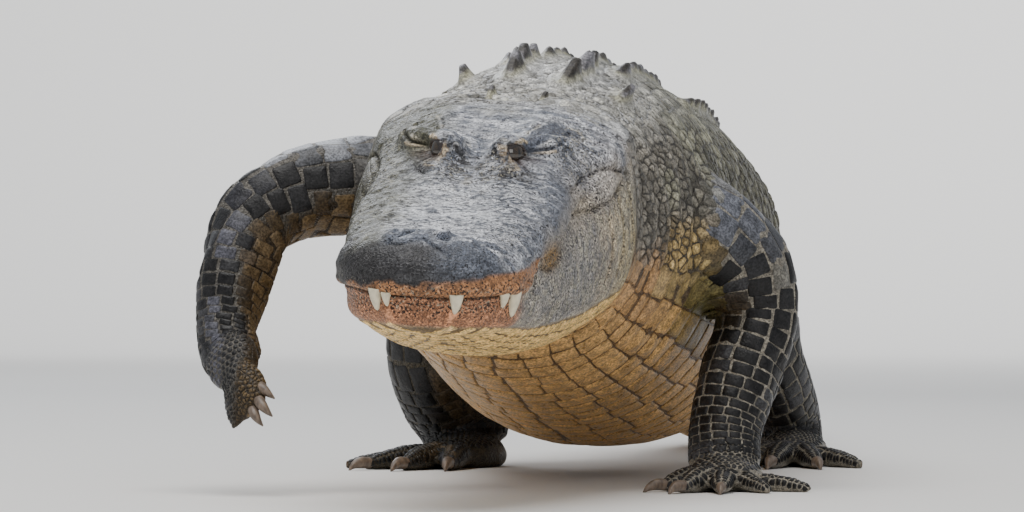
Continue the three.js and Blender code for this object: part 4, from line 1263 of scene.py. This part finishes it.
def brick_seeds(y_from, y_to, step, columns, from_angle):
    """Rows of bricks under the trunk, in columns that run on from row to row with small shifts."""
    chance = np.random.RandomState(SEED + columns)
    at, along, uv, half = [], [], [], []
    y = y_from
    shift = 0.0
    while y < y_to:
        shift = 0.7 * shift + chance.normal(0, 0.06)
        edges = (np.arange(columns + 1) - columns / 2 + shift) * 2 * (math.pi - from_angle) / columns
        edges[1:-1] += chance.normal(0, 0.012, columns - 1)
        ring = body_point(np.full(columns + 1, y), edges + math.pi)
        widths = np.linalg.norm(np.diff(ring, axis=0), axis=1)
        middles = (edges[:-1] + edges[1:]) / 2 + math.pi
        rows = (np.full(columns, y + step(y) * k) for k in (0, -0.5, 0.5))
        spots, before, after = (body_point(row, middles) for row in rows)
        at += list(spots)
        along += list(after - before)
        turned = np.where(middles > math.pi, middles - 2 * math.pi, middles)
        uv += list(np.column_stack(trunk_uv(spots[:, 1], turned)))
        half += list(np.column_stack([np.linalg.norm(after - before, axis=1) / 2, widths / 2]))
        y += step(y)
    return at, along, uv, half


# The bands' length and the scales' width along a limb, at shares of its length
BAND_AT = (0, 0.3, 0.5, 0.75, 0.86, 1)
BAND_LONG = (36, 31, 24, 17, 10, 8)
BAND_WIDE = (40, 36, 30, 25, 18, 14)


def limb_seeds(name, column):
    """Bands of bricks round a limb, large above and small towards the foot, each as large as its place."""
    tube = limb_tubes[name]
    chance = np.random.RandomState(SEED + column)
    shares = np.linspace(0, 1, 400)
    reach = lengths_along(tube.path(shares))
    at, along, uv, half = [], [], [], []
    done = 10.0
    turned = 0.0
    while done < reach[-1] - BAND_LONG[-1]:
        share = done / reach[-1]
        long = np.interp(share, BAND_AT, BAND_LONG)
        start, t, end = np.interp([done, done + long / 2, done + long], reach, shares)
        girth = math.pi * float(tube.a(t * tube.last) + tube.b(t * tube.last))
        count = max(8, round(girth / np.interp(share, BAND_AT, BAND_WIDE)))
        turned += chance.uniform(-0.35, 0.35)
        cuts = (np.arange(count) + turned + chance.uniform(-0.12, 0.12, count)) / count * 2 * math.pi
        cuts = np.append(cuts, cuts[0] + 2 * math.pi)
        middles = (cuts[:-1] + cuts[1:]) / 2
        spots, before, after = (tube.point(np.full(count, k), middles) for k in (t, start, end))
        ring = tube.point(np.full(count + 1, t), cuts)
        at += list(spots)
        along += list(after - before)
        around = 0.02 + 0.11 * column + 0.1 * (middles / (2 * math.pi) % 1)
        uv += list(np.column_stack([np.full(count, 0.66 + 0.3 * share), around]))
        lengths = np.linalg.norm(after - before, axis=1)
        half += list(np.column_stack([lengths, np.linalg.norm(np.diff(ring, axis=0), axis=1)]) / 2)
        done += long
    return at, along, uv, half


def foot_seeds(name, column):
    """Bands across the toes and small scales over the foot's back."""
    limb = LIMBS[name]
    foot = FEET[limb["foot"]]
    turn, place = foot_frame(limb)
    chance = np.random.RandomState(SEED + 40 + column)
    at, along, uv = [], [], []
    for k, tube in enumerate(toe_tubes[name]):
        t = 0.36
        while t < 0.97:
            angles = np.array([-1.15, -0.38, 0.38, 1.15]) + chance.normal(0, 0.05, 4)
            ts = np.full(4, t) + chance.normal(0, 0.008, 4)
            at += list(tube.point(ts, angles))
            along += list(tube.frames(ts)[0])
            uv += [(0.66 + 0.3 * t, 0.5 + 0.1 * column + 0.018 * k + 0.003 * i) for i in range(4)]
            t += 7.5 / tube.length()
    wide, long, high = foot["palm"]
    step = 9.0
    for i, v in enumerate(np.arange(-long * 0.7, long * 1.2, step * 0.87)):
        for u in np.arange(-wide * 1.1, wide * 1.1, step):
            x = u + (i % 2) * step / 2 + chance.normal(0, 0.8)
            at.append(turn @ np.array([x, -v, high * 1.6]) + place)
            along.append(-turn[:, 1])
            uv.append((0.3 + x / 900, 0.55 + 0.1 * column + v / 1500))
    return at, along, uv, None


def chin_edge(f):
    """The height up to which the lower jaw has bricks."""
    return np.interp(f, [0, 104, 156, 320, 432, 470], [-76, -75, -78, -66, -43, -38])


CHIN_BRICK = (19.0, 13.0)


def chin_seeds():
    """Rows of bricks that run along the lower jaw's underside."""
    high, long = CHIN_BRICK
    at, along, uv, half = [], [], [], []
    for hand in (-1, 1):
        for row in range(10):
            f = 482 - long * (row % 2) / 2
            while f > -60:
                quarter = np.linspace(1.0, 2.0, 60)
                flat = lower_section(np.full(60, f), quarter * math.pi / 2)
                start = np.argmax(flat[:, 1] < chin_edge(f))
                reach = lengths_along(flat[start:])
                down = (row + 0.5) * high
                if down < reach[-1]:
                    q = np.interp(down, reach, quarter[start:])
                    x, z = lower_section(np.array([f]), np.array([q * math.pi / 2]))[0]
                    at.append(head_point(hand * x, f, z))
                    further = lower_section(np.array([f - 6.0]), np.array([q * math.pi / 2]))[0]
                    along.append(head_point(hand * further[0], f - 6, further[1]) - at[-1])
                    uv.append((0.02 + 0.2 * (f + 60) / 550, 0.8 + 0.08 * hand * (2 - q)))
                    half.append((long / 2, high / 2))
                f -= long
    return at, along, uv, half


# How much scales differ in colour and lean. A profile's rows: shares of reach and height, and a lightness
# that paints shade on each scale's rim and a highlight on its crown.
BRICKS_UNEVEN = 0.1
SCALES_UNEVEN = 0.4
BUMPY = 0.12
FLAT_PROFILE = [(1.0, -1.2, 0.85), (0.97, 0.5, 0.85), (0.9, 0.95, 0.98), (0.4, 1.06, 1.03)]
DOME_PROFILE = [(1.0, -1.4, 0.65), (0.9, 0.35, 0.8), (0.6, 0.8, 1.05), (0.28, 1.0, 1.25)]
SMALL_PROFILE = [(1.0, -1.3, 0.6), (0.8, 0.7, 0.95), (0.4, 1.0, 1.1)]

p = points_of(solid)
tint, line_tint, limb_share, on_head = hide(p)
x, f, z = head_place(p)
y, angle, _ = body_place(p)
chin = smooth(chin_edge(f) + 3, chin_edge(f) - 3, z) * (z < head["lip"](f))
below = smooth(0.62, 0.8, np.abs(angle))
tiled = np.maximum((1 - on_head) * np.maximum(limb_share, below), on_head * chin)
tiled *= 1 - 4 * limb_share * (1 - limb_share)
line_tint = mix(line_tint, CHIN_LINE, on_head)
upper = on_head * smooth(-1, 2, z - head["lip"](f))
# where the shader paints wet sheen and shade into streaks and raises their ridges: the head's roof and the
# nape's top
streak = upper * smooth(434, 400, f) * smooth(110, 60, x) * smooth(-82, -46, x)
streak *= 0.3 + 0.7 * smooth(170, 260, f)
for line, _ in lid_lines:
    streak *= 1 - smooth(0.15, 0.35, near_line(p, line, LID_HALF))
streak = np.maximum(streak, 0.8 * smooth(80, -20, y) * smooth(0.95, 0.6, np.abs(angle)) * (1 - on_head))
dress(
    skin,
    mix(tint, line_tint, tiled * 0.9),
    speck=speckle(p),
    streak=streak,
    pebble=np.clip(on_head * (1 - tiled) * (1 - 0.6 * upper) + 0.5 * (1 - on_head), 0, 1),
)
skin_tree = tree_of(skin)


# The coat: seeds, whether they are a limb's (None for either), gap, height, profile, points round each scale
NECK_END = -60  # in front of it the sides' scales are finer


def same(size):
    return lambda y: size


def finer_on_neck(fine, size):
    return lambda y: fine if y < NECK_END else size


SIDE_FROM = 0.8  # the angle round the trunk where the back's small scales end
SIDE_TO = 1.72  # and where the belly's bricks begin
side_span = (same(SIDE_FROM), same(SIDE_TO))
flank = trunk_seeds(-262, 900, finer_on_neck(11, 16), *side_span, finer_on_neck(12, 17), 0.3)
belly = brick_seeds(-268, 900, lambda y: 33 if y < -120 else 42, 14, SIDE_TO)
nape = trunk_seeds(-258, 0, same(9), same(0.02), same(SIDE_FROM), same(19), 0.3)
back = trunk_seeds(0, 900, same(15), same(0.02), same(SIDE_FROM), same(16), 0.14)
coat = {
    "flank_scales": (flank, False, 1.2, 1.6, DOME_PROFILE, 10),
    "belly_scales": (belly, False, (2.6, 0.9), 1.6, FLAT_PROFILE, 20),
    "nape_scales": (nape, False, 1.0, 1.3, SMALL_PROFILE, 10),
    "back_scales": (back, False, 1.2, 1.4, SMALL_PROFILE, 8),
    "tail_scales": (brick_seeds(915, 2700, same(26), 20, 0.7), None, 2.0, 1.6, FLAT_PROFILE, 16),
    "chin_scales": (chin_seeds(), None, 2.0, 1.0, FLAT_PROFILE, 20),
}
for column, name in enumerate(LIMBS):
    coat[name + "_scales"] = (limb_seeds(name, column), True, 1.1, 1.0, FLAT_PROFILE, 20)
    foot_name = name.replace("arm", "forefoot").replace("leg", "hindfoot") + "_scales"
    coat[foot_name] = (foot_seeds(name, column), True, 1.1, 1.0, SMALL_PROFILE, 9)
scale_pieces = {}
for name, (rows, on_limb, gap, high, profile, around) in coat.items():
    seeds = seeds_of(skin_tree, on_limb, *rows, gap, high, BRICKS_UNEVEN if rows[3] else SCALES_UNEVEN)
    scale_pieces[name] = build_scales(name, seeds, skin_tree, profile, around, BUMPY)


# Scutes, crest, claws, teeth and eyes
def surface_frame(y, side):
    """The trunk's surface at y, side to the left of the back's middle: an origin and left, back and out."""
    share = min(0.999, abs(side) / float(body["wide"](y)))
    angle = math.asin(share ** (float(body["top"](y)) / 2)) * (1 if side >= 0 else -1)
    at, further, beside = body_point(np.array([y, y + 5.0, y]), np.array([angle, angle, angle + 0.05]))
    back = unit(further - at)
    out = unit(np.cross(unit(beside - at), back))
    return at, np.column_stack([np.cross(back, out), back, out])


def plate(wide, long, thick, peak, lean, steps=14, blunt=0.1, narrow=1.9):
    """A keeled plate, rounded in plan, highest at its keel's rear end. Its rim rolls into the skin."""
    u, v = np.meshgrid(np.linspace(-1, 1, steps + 1), np.linspace(-1, 1, steps + 1), indexing="ij")
    x = u * np.sqrt(1 - 0.42 * v * v)
    y = v * np.sqrt(1 - 0.42 * u * u)
    rim = np.maximum(np.abs(u), np.abs(v))
    crown = np.clip(1 - rim**6, 0, 1)
    ridge = np.clip(1 - np.maximum(np.abs(u) - blunt, 0) * narrow, 0, 1) ** 1.6
    keel = ridge * (0.2 + 0.8 * smooth(-0.8, 0.5, v) * smooth(1.05, 0.75, v))
    z = (thick + peak * keel * smooth(1.02, 0.7, rim)) * crown - 4 * (1 - crown)
    across = x * wide / 2 * (0.85 + 0.15 * v)
    grid = np.stack([across, y * long / 2 + lean * peak * keel, z], -1).reshape(-1, 3)
    i, j = np.meshgrid(np.arange(steps), np.arange(steps), indexing="ij")
    corner = (i * (steps + 1) + j).ravel()
    faces = np.stack([corner, corner + steps + 1, corner + steps + 2, corner + 1], 1).tolist()
    return grid, faces


def on_back(made, y, side):
    at, turn = surface_frame(y, side)
    return made[0] @ turn.T + at, made[1]


def back_scutes(chance):
    made = []
    for y in np.arange(0, 930, ROW_STEP):
        abreast = 4 if y > 720 or y < 60 else 6
        for k in range(abreast):
            side = (k - (abreast - 1) / 2) * SCUTE_SPACING
            outer = abs(side) > 2 * SCUTE_SPACING
            size = (0.8 if outer else 1) * chance.uniform(0.92, 1.08)
            peak = SCUTE_HIGH * chance.uniform(0.7, 1.15)
            shape = plate(SCUTE_WIDE * size, SCUTE_LONG * size, PLATE_THICK, peak, 0.3)
            place = y + chance.uniform(-3, 3) + (ROW_STEP / 2 if outer else 0)
            made.append(on_back(shape, place, side * (1.15 if outer else 1)))
    return made


def nape_plates(chance):
    made = []
    for y, side, size in NUCHALS:
        for hand in (-1, 1):
            high = SCUTE_HIGH * size * 1.35
            shape = plate(SCUTE_WIDE * size, SCUTE_LONG * size, PLATE_THICK, high, 0.2, 24, 0.16, 2.5)
            made.append(on_back(shape, y + chance.uniform(-3, 3), hand * side))
    return made


BLADE_MESH = (14, 16)
TOOTH_MESH = (14, 14)
CLAW_MESH = (16, 14)
EYE_MESH = 90


def crest_blades(chance):
    made = []
    for y in np.arange(TAIL_START + 26, TAIL_TIP - 60, CREST_STEP):
        taper = min(1, float(body["up"](y) / body["up"](TAIL_START + 200)))
        apart = CREST_APART * max(0, (CREST_JOINS - y) / (CREST_JOINS - TAIL_START))
        rise = CREST_HIGH * min(1, 0.5 + (y - TAIL_START) / 800) * min(1, 0.25 + taper)
        rise *= chance.uniform(0.92, 1.08)
        long = CREST_LONG * (0.5 + 0.5 * taper)
        thick = CREST_THICK * taper**0.5
        for side in (-apart - CREST_THICK, apart + CREST_THICK) if y < CREST_JOINS else (0,):

            def ring(t, angle):
                high = -6 + (rise + 6) * t
                chord = long / 2 * (1 - t**1.6)
                x = thick * (1 - 0.9 * t) * np.sin(angle)
                return np.stack([x, chord * np.cos(angle) + long * 0.5 * t, high], -1)

            made.append(on_back(loft(*BLADE_MESH, ring, lambda t: ring(t, t * 0) * [1, 0, 1]), y, side))
    return made


def claws():
    made = []
    for limb in LIMBS.values():
        turn, _ = foot_frame(limb)
        for toe in FEET[limb["foot"]]["toes"]:
            _, reach, thick, claw = toe
            if not claw:
                continue
            stations = toe_stations(limb, toe, [
                (reach - 8, thick * 0.8, thick * 0.5, thick * 0.52),
                (reach + claw * 0.3, thick * 0.86, thick * 0.44, thick * 0.48),
                (reach + claw * 0.72, thick * 0.6, thick * 0.28, thick * 0.3),
                (reach + claw, thick * 0.18, 0.8, 0.8),
            ])
            made.append(tube_loft(Tube(stations, turn[:, 2]), *CLAW_MESH))
    return made


def teeth():
    made = []
    for hand, f, long, thick in UPPER_TEETH:
        x = float(head["edge"](f)) - thick * 0.75
        low = float(head["lip"](f))

        def ring(t, angle):
            r = 1.35 * thick * np.clip(1 - t, 0, 1) ** 0.55
            across = x + r * np.sin(angle) + 1.5 * t - 3 * t**2
            return head_point(hand * across, f + r * np.cos(angle), low + long * (0.35 - 1.35 * t))

        made.append(loft(*TOOTH_MESH, ring, lambda t: ring(t, t * 0)))
    return made


def eyeball(hand):
    gaze = unit([hand * EYE_GAZE[0], -EYE_GAZE[1], EYE_GAZE[2]])
    level = unit(np.cross(gaze, [0, 0, 1]))
    turn = np.column_stack([level, np.cross(level, gaze), gaze])
    centre = np.array([hand * EYE["x"], -EYE["f"], EYE["z"]])
    verts, faces = ball(centre, np.full(3, EYE["radius"]), turn, EYE_MESH)
    return head_point(verts[:, 0], -verts[:, 1], verts[:, 2]), faces


IRIS = 0.62  # the iris's reach from the gaze, in radians
PUPIL = (0.09, 0.42)
IRIS_GOLD = (0.055, 0.034, 0.016)
IRIS_BROWN = (0.024, 0.015, 0.009)
IRIS_RIM = (0.012, 0.009, 0.007)
EYE_BROWN = (0.03, 0.02, 0.016)
PUPIL_BLACK = (0.002, 0.002, 0.002)


def eye_colour(p, hand):
    """A dark golden iris with a slit pupil that stands upright."""
    _, _, out, away = eye_terms(p, hand)
    _, _, z = head_place(p)
    off = np.arccos(np.clip(out / away, -1, 1))
    upright = (z - EYE["z"]) / away - EYE_GAZE[2] * out / away
    beside = np.sqrt(np.maximum(np.sin(off) ** 2 - upright**2, 0))
    rays = noise(np.column_stack([np.arctan2(upright, beside) * 9, off * 3, 0 * off]), 1, 71 + hand)
    iris = mix(IRIS_GOLD, IRIS_BROWN, 0.5 + 0.5 * rays)
    iris = mix(iris, IRIS_RIM, smooth(IRIS - 0.16, IRIS, off))
    made = mix(iris, EYE_BROWN, smooth(IRIS - 0.02, IRIS + 0.03, off))
    slit = (beside / PUPIL[0]) ** 2 + (upright / PUPIL[1]) ** 2
    return mix(made, PUPIL_BLACK, smooth(1.25, 0.8, slit) * (out > 0))


chance = np.random.RandomState(SEED)
pieces = {
    "back_scutes": mesh_object("back_scutes", *join(back_scutes(chance))),
    "nape_plates": mesh_object("nape_plates", *join(nape_plates(chance))),
    "tail_crest": mesh_object("tail_crest", *join(crest_blades(chance))),
    "claws": mesh_object("claws", *join(claws())),
    "teeth": mesh_object("teeth", *join(teeth())),
    "left_eye": mesh_object("left_eye", *eyeball(1)),
    "right_eye": mesh_object("right_eye", *eyeball(-1)),
}
pieces.update(scale_pieces)
for name, piece in pieces.items():
    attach(piece, "root")
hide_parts("eye_left")
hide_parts("eye_right")
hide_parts(*[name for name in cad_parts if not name.startswith("eye")])
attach(skin, "root")


class Look:
    """A material's nodes, added one by one."""

    def __init__(self, name):
        self.material = bpy.data.materials.new(name)
        self.material.use_nodes = True
        self.tree = self.material.node_tree
        self.shader = self.tree.nodes["Principled BSDF"]

    def add(self, kind, inputs=(), **settings):
        node = self.tree.nodes.new(kind)
        for key, value in settings.items():
            setattr(node, key, value)
        for key, value in dict(inputs).items():
            self.put(node.inputs[key], value)
        return node

    def put(self, socket, value):
        if hasattr(value, "is_output"):
            self.tree.links.new(value, socket)
        else:
            socket.default_value = value

    def amount(self, name):
        return self.add("ShaderNodeAttribute", attribute_name=name).outputs["Fac"]

    def maths(self, kind, a, b=0.0, c=0.0):
        return self.add("ShaderNodeMath", {0: a, 1: b, 2: c}, operation=kind).outputs[0]

    def span(self, value, low, high, to_low=0.0, to_high=1.0):
        inputs = {"Value": value, "From Min": low, "From Max": high, "To Min": to_low, "To Max": to_high}
        return self.add("ShaderNodeMapRange", inputs, interpolation_type="SMOOTHSTEP").outputs["Result"]

    def blend(self, share, a, b, kind="MIX"):
        node = self.add("ShaderNodeMix", data_type="RGBA", blend_type=kind)
        self.put(node.inputs["Factor"], share)
        self.put(node.inputs[6], a)
        self.put(node.inputs[7], b)
        return node.outputs[2]

    def texture(self, kind, scale, stretch=(1, 1, 1), **more):
        where = self.add("ShaderNodeTexCoord").outputs["Object"]
        at = self.add("ShaderNodeMapping", {"Vector": where, "Scale": stretch}).outputs["Vector"]
        inputs = {"Vector": at, "Scale": scale}
        inputs.update({k: v for k, v in more.items() if k[0].isupper()})
        settings = {k: v for k, v in more.items() if not k[0].isupper()}
        return self.add(kind, inputs, **settings)


HIDE_SHINE = 0.28
HIDE_ROUGHNESS = (0.27, 0.5)
# painted glint and painted shade of the wet streaks
PAINTED_GLINT = (0.76, 0.77, 0.8, 1)
PAINTED_VALLEY_SHADE = (0.075, 0.08, 0.095, 1)
SPECK_BLACK = (0.016, 0.014, 0.015, 1)
CHALK = (0.55, 0.5, 0.38, 1)
CRACK_DARK = (0.03, 0.025, 0.022, 1)


def hide_look(name):
    look = Look(name)
    tint = look.add("ShaderNodeAttribute", attribute_name="tint").outputs["Color"]
    fine = look.texture("ShaderNodeTexNoise", 380, Detail=3.0).outputs["Fac"]
    wide = look.texture("ShaderNodeTexNoise", 85, Detail=4.0, Roughness=0.6).outputs["Fac"]
    patch = look.texture("ShaderNodeTexNoise", 28, Detail=3.0).outputs["Fac"]
    long = look.texture("ShaderNodeTexNoise", 400, (0.3, 1, 1), Detail=2.0, Roughness=0.5).outputs["Fac"]
    dots = look.texture("ShaderNodeTexNoise", 400, Detail=1.0, Roughness=0.5).outputs["Fac"]
    edges = look.texture("ShaderNodeTexVoronoi", 230, feature="DISTANCE_TO_EDGE").outputs["Distance"]
    small = look.span(fine, 0.38, 0.62, 0.6, 1.4)
    worn = look.maths("MULTIPLY", small, look.span(wide, 0.35, 0.65, 0.7, 1.3))
    shade = look.add("ShaderNodeCombineColor", {0: worn, 1: worn, 2: worn}).outputs[0]
    colour = look.blend(1.0, tint, shade, "MULTIPLY")
    # painted highlights in pale wet streaks across the snout, and painted shade in the valleys between them
    sheen = look.maths("MULTIPLY", look.span(long, 0.5, 0.58), look.span(patch, 0.3, 0.5))
    sheen = look.maths("MULTIPLY", look.amount("streak"), sheen)
    colour = look.blend(look.maths("MULTIPLY", sheen, 0.85), colour, PAINTED_GLINT)
    valley_shade = look.maths("MULTIPLY", look.amount("streak"), look.span(long, 0.49, 0.4))
    colour = look.blend(look.maths("MULTIPLY", valley_shade, 0.8), colour, PAINTED_VALLEY_SHADE)
    # dark specks, denser where the speck amount is high
    limit = look.maths("MULTIPLY_ADD", look.amount("speck"), 0.2, 0.28)
    limit = look.maths("MULTIPLY", limit, look.span(wide, 0.3, 0.7, 0.86, 1.1))
    speck = look.span(look.maths("SUBTRACT", dots, limit), 0.03, -0.02)
    speck = look.maths("MULTIPLY", speck, look.span(look.amount("speck"), 0.0, 0.1))
    colour = look.blend(look.maths("MULTIPLY", speck, 0.92), colour, SPECK_BLACK)
    chalk = look.texture("ShaderNodeTexNoise", 331, (1, 1.1, 0.9), Detail=1.5).outputs["Fac"]
    chalk = look.maths("MULTIPLY", look.span(chalk, 0.6, 0.66), look.span(look.amount("speck"), 0.55, 0.9))
    colour = look.blend(look.maths("MULTIPLY", chalk, 0.6), colour, CHALK)
    crack = look.maths("MULTIPLY", look.amount("pebble"), look.span(edges, 0.12, 0.02))
    colour = look.blend(look.maths("MULTIPLY", crack, 0.5), colour, CRACK_DARK)
    look.put(look.shader.inputs["Base Color"], colour)
    look.put(look.shader.inputs["Specular IOR Level"], HIDE_SHINE)
    look.put(look.shader.inputs["Roughness"], look.span(wide, 0.3, 0.7, *HIDE_ROUGHNESS))
    pebbles = look.maths("MULTIPLY", look.amount("pebble"), look.span(edges, 0.0, 0.3))
    height = look.maths("MULTIPLY_ADD", fine, 0.5, pebbles)
    height = look.maths("MULTIPLY_ADD", look.maths("MULTIPLY", long, look.amount("streak")), 2.5, height)
    bump = look.add("ShaderNodeBump", {"Height": height, "Strength": 0.8, "Distance": 0.0018})
    look.put(look.shader.inputs["Normal"], bump.outputs["Normal"])
    return look.material


def eye_look():
    look = Look("eye")
    tint = look.add("ShaderNodeAttribute", attribute_name="tint").outputs["Color"]
    look.put(look.shader.inputs["Base Color"], tint)
    look.put(look.shader.inputs["Roughness"], 0.06)
    look.put(look.shader.inputs["Coat Weight"], 1.0)
    look.put(look.shader.inputs["Coat Roughness"], 0.03)
    return look.material


def plain_material(name, colour, rough, shade=0.45):
    look = Look(name)
    grain = look.texture("ShaderNodeTexNoise", 160, (1, 1, 0.4), Detail=4.0).outputs["Fac"]
    dark = tuple(c * shade for c in colour)
    mixed = look.blend(look.span(grain, 0.3, 0.7), (*dark, 1), (*colour, 1))
    look.put(look.shader.inputs["Base Color"], mixed)
    look.put(look.shader.inputs["Roughness"], rough)
    return look.material


CLAW_BROWN = (0.24, 0.18, 0.135)
TOOTH_IVORY = (0.86, 0.77, 0.56)
PLATE_YELLOW = (0.30, 0.28, 0.15)
PLATE_BLACK = (0.04, 0.035, 0.03)
PLATE_GREY = (0.17, 0.165, 0.18)
PLATE_TIPS = {"nape_plates": (9, 15)}  # from which to which height a plate turns dark
LOOKS = {
    "claws": plain_material("claw", CLAW_BROWN, 0.4),
    "teeth": plain_material("tooth", TOOTH_IVORY, 0.3, 0.75),
    "left_eye": eye_look(),
}
LOOKS["right_eye"] = LOOKS["left_eye"]
hide_material = hide_look("hide")
for name in ("back_scutes", "nape_plates", "tail_crest"):
    obj = pieces[name]
    q = points_of(obj.data)
    y, angle, out = body_place(q)
    proud = (out - 1) * body["up"](y)
    base = mix(trunk_colour(q), PLATE_YELLOW, 0.55 * smooth(2, 9, proud))
    worn = smooth(*PLATE_TIPS.get(name, (6, 11)), proud + 3 * noise(q, 12, 61))
    shell = mix(PLATE_BLACK, PLATE_GREY, smooth(-0.1, 0.5, noise(q, 10, 62)))
    dress(obj, mix(base, shell, worn), np.column_stack(trunk_uv(y, angle)))
for hand, name in ((1, "left_eye"), (-1, "right_eye")):
    dress(pieces[name], eye_colour(points_of(pieces[name].data), hand))
for obj in [skin, *pieces.values()]:
    obj.data.materials.clear()
    obj.data.materials.append(LOOKS.get(obj.name, hide_material))

# The stage: a pale floor that sweeps up far behind the animal
SWEEP_START = 9.0
SWEEP_RADIUS = 9.0
SWEEP_FRONT = (-40, -12)
SWEEP_HIGH = 2.8  # low enough to look over it from behind
SWEEP_HALF_WIDTH = 60
FLOOR_PALE = (0.8, 0.79, 0.77, 1)
SKY_PALE = (0.88, 0.93, 1, 1)
SKY_STRENGTH = 0.42
turns = np.linspace(0, math.acos(1 - SWEEP_HIGH / SWEEP_RADIUS), 24)
depth = np.concatenate([[*SWEEP_FRONT, 0, SWEEP_START], SWEEP_START + SWEEP_RADIUS * np.sin(turns[1:])])
rise = np.concatenate([[0, 0, 0, 0], SWEEP_RADIUS * (1 - np.cos(turns[1:]))])
verts = [(side, d, r) for side in (-SWEEP_HALF_WIDTH, SWEEP_HALF_WIDTH) for d, r in zip(depth, rise)]
count = len(depth)
sweep = bpy.data.meshes.new("floor")
sweep.from_pydata(verts, [], [(i, i + 1, count + i + 1, count + i) for i in range(count - 1)])
sweep.shade_smooth()
floor = bpy.data.objects.new("floor", sweep)
bpy.context.scene.collection.objects.link(floor)
pale = bpy.data.materials.new("pale")
pale.use_nodes = True
floor_shader = pale.node_tree.nodes["Principled BSDF"].inputs
floor_shader["Base Color"].default_value = FLOOR_PALE
floor_shader["Roughness"].default_value = 0.9
floor.data.materials.append(pale)

world = bpy.data.worlds.new("world")
bpy.context.scene.world = world
world.use_nodes = True
sky = world.node_tree.nodes["Background"].inputs
sky["Color"].default_value = SKY_PALE
sky["Strength"].default_value = SKY_STRENGTH

lens = bpy.data.cameras.new("camera")
lens.lens = CAMERA_LENS
lens.sensor_width = SENSOR
camera = bpy.data.objects.new("camera", lens)
camera.location = CAMERA
camera.rotation_euler = (math.radians(90), 0, math.radians(CAMERA_AZIMUTH))
bpy.context.scene.collection.objects.link(camera)
bpy.context.scene.camera = camera

# Soft light: name, size, power, place, what it faces and its colour
ANIMAL = (0, -0.6, 0.3)
LIGHTS = [
    ("sky", 5.0, 330, (-0.6, -2.0, 5.5), ANIMAL, (1, 0.98, 0.95)),
    ("front", 2.5, 50, (2.5, -6.5, 2.2), ANIMAL, (1, 0.97, 0.93)),
    ("rear", 3.0, 120, (-2.5, 4.5, 4.0), ANIMAL, (0.93, 0.96, 1)),
    ("wall", 8.0, 1500, (0, 9, 9), (0, 18, 4), (1, 1, 1)),
]
for name, size, strength, place, faced, colour in LIGHTS:
    light = bpy.data.lights.new(name, "AREA")
    light.energy = strength
    light.size = size
    light.color = colour
    lamp = bpy.data.objects.new(name, light)
    lamp.location = place
    lamp.rotation_euler = (Vector(faced) - lamp.location).to_track_quat("-Z", "Y").to_euler()
    bpy.context.scene.collection.objects.link(lamp)
